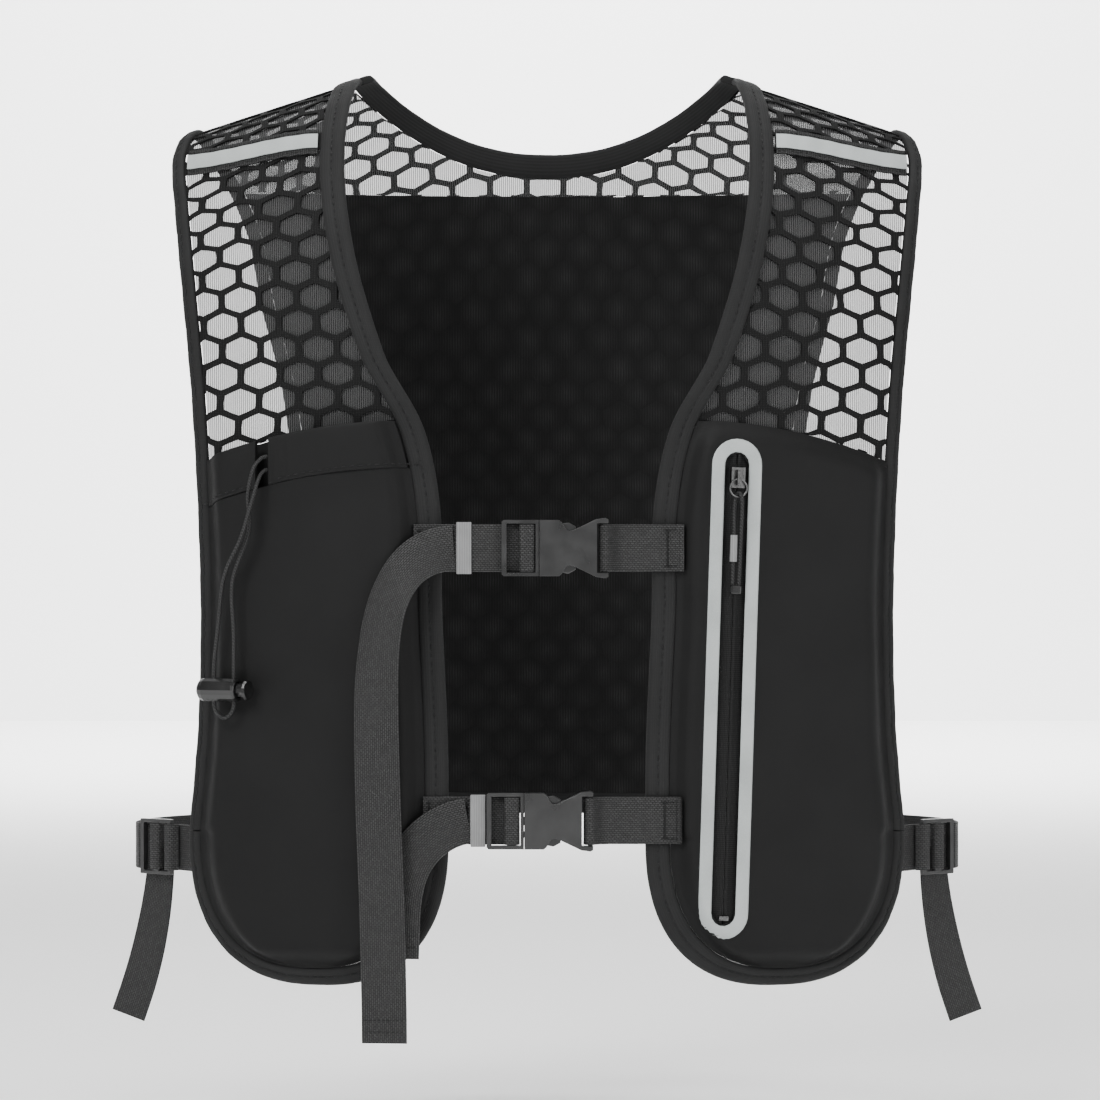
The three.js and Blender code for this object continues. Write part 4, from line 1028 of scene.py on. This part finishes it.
def chestStrap(prefix, strap):
    t = webbing["thick"]
    meetX, z, out = strap["meetX"], strap["z"], buckle["out"]
    path = [(lerp(strap["sewnLeft"], -54, k / 5), -sewnDepth(lerp(strap["sewnLeft"], -54, k / 5), z) - t / 2)
            for k in range(6)]
    path.append((meetX - buckle["frame"], path[-1][1]))
    anchor = strapPiece(f"{prefix}AnchorWebbing", *fromPlan(path, z), webbing["width"], t)[0]
    fitted(anchor, f"{prefix}_anchor_webbing", "vest", looks["webbing"])
    front = lambda x: sewnDepth(x, z) + t + 0.1
    sewn = strap["sewnLeft"]
    stitchBox(f"{prefix}AnchorStitches", sewn + 1, sewn + strap["sewn"], z, 9, front, "vest")
    bartack(f"{prefix}AnchorTack", sewn + 2.5, z, 20, front(sewn + 2.5), "vest")

    male = f"{prefix}_male_half"
    rear, near, over = -(0.2 + t / 2), -(0.2 + t * 1.5 + 0.3), -(6.3 + t / 2)
    left, right = -8.8 - 0.3 - t / 2, -3.8 + 0.3 + t / 2
    keeperAt = strap["keeperX"] - meetX
    turns = [(keeperAt - 1, rear), (-20, rear), (right - 1.6, rear), (right - 0.5, rear - 0.3),
             (right, rear - 1.0), (right, over + 1), (right - 0.4, over + 0.2), (right - 1.2, over),
             (left + 1.2, over),
             (left + 0.4, over + 0.2), (left, over + 1), (left, near - 1.2), (left - 0.4, near - 0.3),
             (left - 1.4, near), (-20, near), (keeperAt - 1, near)]
    path = [(meetX + x, y - out) for x, y in turns]
    loop = strapPiece(f"{prefix}MaleWebbing", *fromPlan(path, z), webbing["width"] - 0.2, t - 0.1, 0.8)[0]
    fitted(loop, f"{prefix}_male_webbing", male, looks["webbing"])

    bar = {"x": meetX + 34.9, "out": out + 4.3, "reach": 2.4 + t / 2}
    ends = [lerp(56, strap["sewnRight"], k / 4) for k in range(5)]
    rearLayer = [(x, -(sewnDepth(x, z) + t / 2)) for x in reversed(ends)]
    frontLayer = [(x, -(sewnDepth(x, z) + t * 1.5 + 0.05)) for x in ends]
    turns = [(bar["x"] + bar["reach"] * math.cos(a), -bar["out"] + bar["reach"] * math.sin(a))
             for a in [math.radians(d) for d in range(70, 291, 22)]]
    comeIn = (bar["x"] + 9, rearLayer[-1][1] - 0.3)
    goOut = (bar["x"] + 9, frontLayer[0][1] - 0.6)
    path = rearLayer + [comeIn] + turns + [goOut] + frontLayer
    loop = strapPiece(f"{prefix}FemaleWebbing", *fromPlan(path, z), webbing["width"] - 0.2, t - 0.1, 1.6)[0]
    fitted(loop, f"{prefix}_female_webbing", "vest", looks["webbing"])
    front = lambda x: sewnDepth(x, z) + t * 2 + 0.15
    sewn = strap["sewnRight"]
    stitchBox(f"{prefix}SewnStitches", sewn - 11, sewn - 1.5, z, 9.5, front, "vest")
    bartack(f"{prefix}SewnTack", sewn - 9, z, 20, front(sewn - 9), "vest")
    bartack(f"{prefix}SewnTackEnd", sewn - 2.5, z, 21, front(sewn - 2.5), "vest")


def looseEnd(name, node, body, stations, width):
    points, sides = [], []
    for x, y, z, lean, tilt in stations:
        a, b = math.radians(lean), math.radians(tilt)
        points.append(Vector((x, y, z)))
        sides.append(Vector((-math.sin(a) * math.cos(b), math.sin(b), math.cos(a) * math.cos(b))))
    piece, path, across = strapPiece(name, points, sides, width, 1.4)
    fitted(piece, node, body, looks["webbing"])
    for share in (-0.38, 0.38):  # the folded hem's two stitch rows at the end
        i = len(path) - 4
        way = (path[i + 1] - path[i]).normalized()
        normal = way.cross(across[i]).normalized()
        if normal.y > 0:
            normal = -normal
        middle = path[i] + way * share * 8
        row = [(middle + across[i] * (k / 6 - 0.5) * (width - 3) + normal * 0.75) * mm for k in range(7)]
        rowName = f"{name}Hem{'A' if share < 0 else 'B'}"
        thread = stitchesAlong(rowName, row, [normal] * 7, spacing=2.4, length=1.8, radius=0.28)
        fitted(thread, None, body, looks["thread"])


def looseEnds():
    y = -buckle["out"] - 0.2 - webbing["thick"] * 1.5 - 0.3
    looseEnd("upperLooseEnd", "upper_loose_end", "upper_male_half", [
        (-48.8, y, 1, 0, 0), (-56, y - 0.6, 0.2, 8, 5), (-64, y - 2.2, -2.6, 22, 14),
        (-72.5, y - 4.8, -9, 42, 24),
        (-79.5, y - 7, -19, 60, 30), (-84.5, y - 8.2, -32, 74, 30), (-87.6, y - 8.4, -50, 83, 26),
        (-89.2, y - 8, -78, 89, 14), (-88.4, y - 7.6, -130, 91, 6), (-86.4, y - 7.4, -184, 91, 6),
        (-85.2, y - 7, -236, 90, 8), (-85, y - 6.8, -258, 90, 8)], 24)
    looseEnd("lowerLooseEnd", "lower_loose_end", "lower_male_half", [
        (-41.4, y, -142, 0, 0), (-48, y - 0.2, -143.4, 10, 2), (-56, y - 0.8, -147, 26, 5),
        (-64.5, y - 1.4, -153.6, 45, 8), (-71.5, y - 1.8, -163, 62, 8), (-76, y - 2, -175, 76, 6),
        (-78.2, y - 2.6, -190, 86, 4), (-79, y - 3, -214, 90, 0)], 24)


# Side adjusters: the stub on the front, the slider, the strap from the back and its loose end

side = {
    "z": -160, "turn": math.radians(38), "centre": (210.5, -42.4), "drop": 92, "width": 24.8, "thick": 1.2,
}


def bySlider(along, out):  # from the slider's own along and out to the plan view
    c, s = math.cos(side["turn"]), math.sin(side["turn"])
    return side["centre"][0] + along * c + out * s, side["centre"][1] + along * s - out * c


def sideStraps(name, sign):
    t = webbing["thick"]
    rear = -(1.5 + 0.3 + t / 2)

    def flipped(path):
        return [(sign * x, y) for x, y in path]

    under = [tuple(onWearer(x, side["z"], binding["inner"] - 0.3 - t / 2).xy / mm)
             for x in (174, 181, 188, 194)]
    hook = [bySlider(*p) for p in (
        (-15, rear), (-8.6, rear), (-7.5, rear + 0.6), (-7.3, 0), (-7.5, -rear - 0.6), (-8.6, -rear),
        (-12, -rear), (-14.6, rear + t + 0.3))]
    path = flipped(under + hook)
    stub = strapPiece(f"{name}SideStub", *fromPlan(path, side["z"]), side["width"], side["thick"], 1.2)[0]
    fitted(stub, f"{name}_side_stub", "vest", looks["webbing"])

    wrap = [bySlider(*p) for p in (
        (-3.1, -1.2), (-3.0, 1.3), (-2.0, 1.8 + t / 2), (2.0, 1.8 + t / 2), (3.0, 1.3), (3.0, rear + 1.0),
        (3.9, rear), (12, rear))]
    around = [(221.2, -32), (223.4, -20), (221.5, -2), (214, 18), (203, 36), (188, 53)]
    behind = [tuple(onWearer(x, 2 * crownS - side["z"], binding["inner"] - 0.6 - t / 2).xy / mm)
              for x in (172, 163, 154, 146)]
    path = flipped(wrap + around + behind)
    strap = strapPiece(f"{name}SideStrap", *fromPlan(path, side["z"]), side["width"], side["thick"], 1.4)[0]
    fitted(strap, f"{name}_side_strap", None, looks["webbing"])
    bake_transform(strap)

    rest = rear - t / 2 - 0.3 - 0.75 - 0.4
    points, across = [], []
    for k in (0, 0.12, 0.24, 0.4, 0.6, 0.8, 1):
        x, y = bySlider(1 + 15 * k * k + 3 * k, rest + 7 * k * k)
        points.append(Vector((sign * x, y, lerp(side["z"] + 0.5, side["z"] - side["drop"], k))))
        turn = side["turn"] - 0.5 * ease(k)
        way = Vector((math.cos(turn), math.sin(turn), 0.3 * ease(k * 2))).normalized()
        across.append(Vector((sign * way.x, way.y, way.z)))
    tailPiece = strapPiece(f"{name}SideTail", points, across, 19, 1.4)[0]
    fitted(tailPiece, f"{name}_side_loose_end", f"{name}_adjuster", looks["webbing"])


# Shoulder tapes: a ribbed tape with a reflective strip along it

def shoulderTapes():
    for name, sign in (("left", -1), ("right", 1)):
        for kind, tall, lift, thick, look, slot in (
                ("Tape", 13.5, 2.1, 0.8, "shoulderTape", "webbing"),
                ("Reflector", 7.6, 3.2, 0.4, "reflective", "reflective")):
            def flat(u, w):
                middle = lerp(217.5, 208.5, ease(u))
                left, right = panelEdges(215)
                x = lerp(left + 0.6, right - 0.6, u)
                s = 2 * crownS - backS(x, middle + (w - 0.5) * tall)
                return sign * x, s, 0.12 * math.sin(x * 0.55)
            piece = clothSheet(f"{name}Shoulder{kind}", 40, 8, flat, lift, thick)
            fitted(piece, f"{name}_shoulder_{kind.lower()}", "vest", looks[look])
        for edge in (-5.2, 5.2):
            def row(t, edge=edge):
                middle = lerp(217.5, 208.5, ease(t))
                left, right = panelEdges(215)
                x = lerp(left + 1, right - 1, t)
                return sign * x, 2 * crownS - backS(x, middle + edge)
            stitchesOnWearer(f"{name}TapeStitches{'Low' if edge < 0 else 'Top'}", row, 40, 2.95,
                             slot="webbing", spacing=2.6, length=1.8, radius=0.26)


# Zip: its own frame has z up the chain, -y out of the pocket and its origin at the top

zipSizes = {"topX": 100, "topZ": 46, "bottomX": 92.5, "bottomZ": -192, "past": 12.5, "wide": 27, "band": 7}


def zipEnd(x, z):
    lift = pocket["front"] + pocket["bulge"]
    return onWearer(2 * x - onWearer(x, z, lift).x / mm, z, lift) / mm


zipTop = zipEnd(zipSizes["topX"], zipSizes["topZ"])
zipBottom = zipEnd(zipSizes["bottomX"], zipSizes["bottomZ"])
zipLength = (zipTop - zipBottom).length
zipUp = (zipTop - zipBottom).normalized()
zipOut = outward((zipSizes["topX"] + zipSizes["bottomX"]) / 2, 0)
zipOut = (zipOut - zipUp * zipOut.dot(zipUp)).normalized()
zipAcross = zipUp.cross(zipOut)


def byZip(x, y, z):  # a point of the zip's frame, in metres in the row frame
    return (zipTop + zipAcross * x - zipOut * y + zipUp * z) * mm


def ovalEdge(half, low, high, t):  # round a long oblong, t from 0 to 1
    straight = (high - low) - 2 * half
    around = 2 * straight + 2 * math.pi * half
    d = (t % 1) * around
    if d < math.pi * half:
        a = d / half
        return half * math.cos(a), high - half + half * math.sin(a)
    d -= math.pi * half
    if d < straight:
        return -half, high - half - d
    d -= straight
    if d < math.pi * half:
        a = math.pi + d / half
        return half * math.cos(a), low + half + half * math.sin(a)
    return half, low + half + d - math.pi * half


def pocketHeight(x, z):  # how far out the pocket's front lies over a spot of the zip's frame
    spot = byZip(x, 0, z) / mm
    probe, s = spot.x, spot.z
    for _ in range(4):
        lift = pocket["front"] + pocket["cloth"] + pocketFull(probe, s, True)
        probe += spot.x - onWearer(probe, s, lift).x / mm
    lift = pocket["front"] + pocket["cloth"] + pocketFull(probe, s, True)
    return onWearer(probe, s, lift) / mm


def zipOpening(front):  # the pocket front is cut open along the zip
    ringLow = -zipLength - zipSizes["past"]
    half = zipSizes["wide"] / 2 - zipSizes["band"]
    low, high = ringLow + zipSizes["band"], zipSizes["past"] - zipSizes["band"]
    count = 64
    edge = [ovalEdge(half, low, high, k / count) for k in range(count)]
    verts = [byZip(x, y, z) for y in (-12, 14) for x, z in edge]
    faces = [[k, (k + 1) % count, count + (k + 1) % count, count + k] for k in range(count)]
    faces += [list(reversed(range(count))), list(range(count, 2 * count))]
    cutter = meshFrom("zipCutter", verts, faces)
    onlySelected(cutter)
    bpy.ops.object.mode_set(mode="EDIT")
    bpy.ops.mesh.select_all(action="SELECT")
    bpy.ops.mesh.normals_make_consistent(inside=False)
    bpy.ops.object.mode_set(mode="OBJECT")
    applyModifier(front, "BOOLEAN", object=cutter, operation="DIFFERENCE", solver="EXACT")
    bpy.data.objects.remove(cutter)
    smoothByAngle(front, 50)
    return fitted(front, "right_pocket_front", "vest", looks["pocketCloth"])


def zipRing():  # the reflective oblong, moulded a little proud round the slot
    ringLow = -zipLength - zipSizes["past"]
    wide, band = zipSizes["wide"] / 2, zipSizes["band"]

    def place(u, w):
        profile = [(0, 0.2), (0.25, 0.62), (0.9, 0.78), (2.2, 0.78), (3.5, 0.78), (4.8, 0.78),
                   (band - 0.9, 0.78), (band - 0.25, 0.62), (band, 0.2), (band - 0.4, 0.12), (3.5, 0.12),
                   (0.4, 0.12)]
        inset, high = profile[round(u * len(profile)) % len(profile)]
        x, z = ovalEdge(wide - inset, ringLow + inset, zipSizes["past"] - inset, w)
        under = byZip(x, 0, z) / mm
        spot = pocketHeight(x, z) + outward(under.x, under.z) * high
        return spot * mm, (u * 0.02, w * 0.5)
    piece = shapedGrid("zipReflector", 12, 180, place, closed=True)
    smoothByAngle(piece, 50)
    fitted(piece, "zip_reflector", "vest", looks["reflective"])


def zipTapes():  # two ribbed tapes that meet on a dark line, with their teeth behind
    ringLow = -zipLength - zipSizes["past"]
    low, high = ringLow + 5, zipSizes["past"] - 5
    lipLevel = (pocketHeight(0, -8) - zipTop).dot(zipOut)
    for name, sign in (("inner", -1), ("outer", 1)):
        def place(u, w):
            profile = [(0.28, -0.3), (0.34, -1.25), (0.8, -1.6), (1.7, -1.62), (2.3, -1.1), (2.9, -0.45),
                       (9.3, 0.35), (9.3, 1.1), (2.9, 0.4), (0.5, 0.4)]
            across, out = profile[round(u * len(profile)) % len(profile)]
            z = lerp(low, high, w)
            spot = pocketHeight(sign * across, z)
            lip = ease((3.2 - across) / 1.6)
            level = lerp((spot - zipTop).dot(zipOut), lipLevel, lip)
            base = byZip(sign * across, 0, z) + zipOut * (level - 1.2 - 0.75) * mm
            return base - zipOut * out * mm, (across * mm, z * mm)
        piece = shapedGrid(f"zipTape{name.title()}", 10, 120, place, closed=True)
        smoothByAngle(piece, 45)
        fitted(piece, f"zip_tape_{name}", "vest", looks["zipTape"])
    count = int(zipLength / 1.9)
    verts, faces = [], []
    for k in range(count):
        for sign in (-1, 1):
            z = -2 - k * 1.9 + (0.95 if sign > 0 else 0)
            start = len(verts)
            for x, y, dz in ((-0.5, 0.6, -0.55), (2.1, 0.6, -0.55), (2.1, 0.6, 0.55), (-0.5, 0.6, 0.55),
                             (-0.3, 1.9, -0.4), (1.9, 1.9, -0.4), (1.9, 1.9, 0.4), (-0.3, 1.9, 0.4)):
                verts.append(byZip(sign * x, y + 0.3, z + dz))
            order = [[0, 3, 2, 1], [4, 5, 6, 7], [0, 1, 5, 4], [1, 2, 6, 5], [2, 3, 7, 6], [3, 0, 4, 7]]
            faces += [[start + i for i in (face if sign > 0 else reversed(face))] for face in order]
    teeth = meshFrom("zipTeeth", verts, faces)
    onlySelected(teeth)
    bpy.ops.object.mode_set(mode="EDIT")
    bpy.ops.mesh.select_all(action="SELECT")
    bpy.ops.mesh.normals_make_consistent(inside=False)
    bpy.ops.object.mode_set(mode="OBJECT")
    fitted(teeth, "zip_chain", "vest", looks["glossPlastic"])


# Cords: curves with a round section, along the routes that the solids have

cordDiameter = 2.0


def cordCurve(name, points, diameter):
    nothingSelected()
    bpy.ops.curve.primitive_bezier_curve_add()
    piece = bpy.context.object
    piece.name = name
    curve = piece.data
    curve.splines.clear()
    fine = smoothPath(points, 1.2)
    spline = curve.splines.new("POLY")
    spline.points.add(len(fine) - 1)
    for point, at in zip(spline.points, fine):
        point.co = (*(at * mm), 1)
    curve.dimensions = "3D"
    curve.bevel_depth = diameter / 2 * mm
    curve.bevel_resolution = 4
    curve.use_fill_caps = True
    length = sum((b - a).length for a, b in zip(fine, fine[1:])) * mm
    return piece, fine, length


lock = {"x": -163, "z": -74, "far": -5, "near": 7, "length": 26, "across": 13}
lockLift = pocket["front"] + pocket["cloth"] + pocket["bulge"] + lock["across"] / 2 + 1
lockPlace = onWearer(lock["x"], lock["z"], lockLift) / mm
lockAlong = (surface(lock["x"] + 8, lock["z"]) - surface(lock["x"] - 8, lock["z"])).normalized()


def hemEnd(x, below):
    v = mouth(x) - below
    return onWearer(-x, v, pocket["front"] + fullness(x, v, False) + hemCut["thick"] / 2) / mm


def drawcord():
    near, far = lockPlace + lockAlong * lock["near"], lockPlace + lockAlong * lock["far"]
    high, low = hemEnd(hemCut["start"], 10), hemEnd(hemCut["start"], 17)
    top, under = lock["z"] + lock["across"] / 2, lock["z"] - lock["across"] / 2
    startX = high.x - 1.2
    mid = lambda t: (lerp(near.x, far.x, t), lerp(near.y, far.y, t))
    route = [
        (startX, high.y, high.z), (startX - 3, high.y - 2.6, high.z - 1.2),
        (startX - 7, high.y - 4.8, high.z - 7), (startX - 9.6, high.y - 4.6, high.z - 20),
        (startX - 9.4, high.y - 4.4, high.z - 40),
        (near.x - 0.6, near.y - 1.2, high.z - 66), (near.x, near.y, top + 24), (near.x, near.y, top + 8),
        (near.x, near.y, lock["z"]), (near.x, near.y, under - 2), (*mid(0.16), under - 6),
        (*mid(0.5), under - 8.4), (*mid(0.84), under - 6), (far.x, far.y, under - 2),
        (far.x, far.y, lock["z"]), (far.x, far.y, top + 8),
        (far.x + 1.8, far.y - 1.4, top + 24), (far.x + 5.4, far.y - 4.6, high.z - 64),
        (startX - 13.6, high.y - 7.4, high.z - 44), (startX - 8.6, high.y - 8, high.z - 28),
        (startX - 4.4, low.y - 5, low.z - 6), (startX - 2, low.y - 2.2, low.z - 1.2), (startX, low.y, low.z)]
    piece, fine, length = cordCurve("drawcordBraid", [Vector(p) for p in route], cordDiameter)
    fitted(piece, "drawcord", "vest", looks["cord"])
    print("drawcord length in metres:", round(length, 4))


def zipPullCord():
    y, top = -5.1, -9 - 2 * 4.6
    route = [(-1.6, y + 0.2, top - 46), (-1.7, y, top - 34), (-1.6, y + 0.2, top - 20),
             (-1.6, y + 1.2, top - 9), (-1.3, y + 1.9, top - 3), (-0.9, y + 2, top),
             (-0.3, y + 1.4, top + 1.7), (0.2, y, top + 2.2),
             (0.7, y - 1.4, top + 1.7), (1.2, y - 2, top), (1.7, y - 1.9, top - 3), (1.9, y - 1.2, top - 9),
             (2, y - 0.2, top - 20), (1.9, y, top - 34), (1.7, y + 0.2, top - 46)]
    piece, fine, length = cordCurve("zipPullLoop", [byZip(*p) / mm for p in route], cordDiameter)
    fitted(piece, "zip_pull_cord", "zip_pull", looks["cord"])
    print("zip pull cord length in metres:", round(length, 4))


# Hard parts keep their solids: softened edges and a moulded or plated finish

def hardParts():
    for node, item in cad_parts.items():
        look = None
        if any(word in node for word in ("male_frame", "female_body", "latch_", "side_slider")):
            look, soft = looks["plastic"], 0.45
        elif node in ("cord_lock_barrel", "cord_lock_plunger"):
            look, soft = looks["glossPlastic"], 0.3
        elif node in ("zip_slider", "zip_pull_ring", "cord_lock_spring", "zip_bottom_stop"):
            look, soft = looks["metal"], 0.2
        elif node.endswith("_keeper"):
            look, soft = looks["keeper"], 0.25
        elif node == "zip_pull_sleeve":
            look, soft = looks["keeper"], 0.2
        elif node == "zip_pull_end":
            look, soft = looks["glossPlastic"], 0.8
        if look is None:
            continue
        item.data.materials.clear()
        item.data.materials.append(look)
        weld = item.modifiers.new("Weld", "WELD")
        weld.merge_threshold = 0.00001
        bevel = item.modifiers.new("Bevel", "BEVEL")
        bevel.width = soft * mm
        bevel.segments = 2
        bevel.limit_method = "ANGLE"
        bevel.angle_limit = math.radians(35)
        bevel.harden_normals = False


# Stage: a pale floor and wall, a bright plain surround and soft lamps, in metres

stage = {"size": 24, "floorZ": -0.31, "wallY": 6.0, "surround": 0.35}
lamps = {  # place, power in watts and size
    "key": ((-1.3, -1.9, 1.5), 60, 1.2),
    "fill": ((1.7, -1.7, 0.6), 24, 1.4),
    "top": ((0.1, -0.1, 2.2), 45, 1.4),
    "wash": ((0, 4.3, 2.2), 330, 3.0),
}


def setStage():
    nothingSelected()
    bpy.ops.mesh.primitive_plane_add(size=stage["size"], location=(0, 0, stage["floorZ"]))
    floor = bpy.context.object
    floor.name = "floor"
    bpy.ops.mesh.primitive_plane_add(
        size=stage["size"], location=(0, stage["wallY"], 6.0), rotation=(math.pi / 2, 0, 0))
    wall = bpy.context.object
    wall.name = "wall"
    pale = newLook("paleStage", (0.93, 0.93, 0.93), 0.9, emission_color=(1, 1, 1, 1), emission_strength=0.3)
    for item in (floor, wall):
        item.data.materials.append(pale)
    world = bpy.data.worlds.new("surround")
    bpy.context.scene.world = world
    world.use_nodes = True
    world.node_tree.nodes["Background"].inputs["Color"].default_value = (1, 1, 1, 1)
    world.node_tree.nodes["Background"].inputs["Strength"].default_value = stage["surround"]
    for name, (place, power, size) in lamps.items():
        nothingSelected()
        target = (0, stage["wallY"], 0.2) if name == "wash" else (0, 0, 0)
        turn = (Vector(target) - Vector(place)).to_track_quat("-Z", "Y").to_euler()
        bpy.ops.object.light_add(type="AREA", location=place, rotation=turn)
        lamp = bpy.context.object
        lamp.name = name
        lamp.data.energy = power
        lamp.data.size = size


drawcord()
zipPullCord()
print("cords laid")
rightFront = frontPanels()
zipOpening(rightFront)
pocketHems()
pocketStitches()
print("pockets sewn")
bindings()
print("bindings sewn")
meshPanels()
print("nets and linings made")
for prefix, strap in chestStraps.items():
    chestStrap(prefix, strap)
looseEnds()
sideStraps("left", -1)
sideStraps("right", 1)
shoulderTapes()
print("webbing made")
zipRing()
zipTapes()
hardParts()
setStage()
print("stage set")
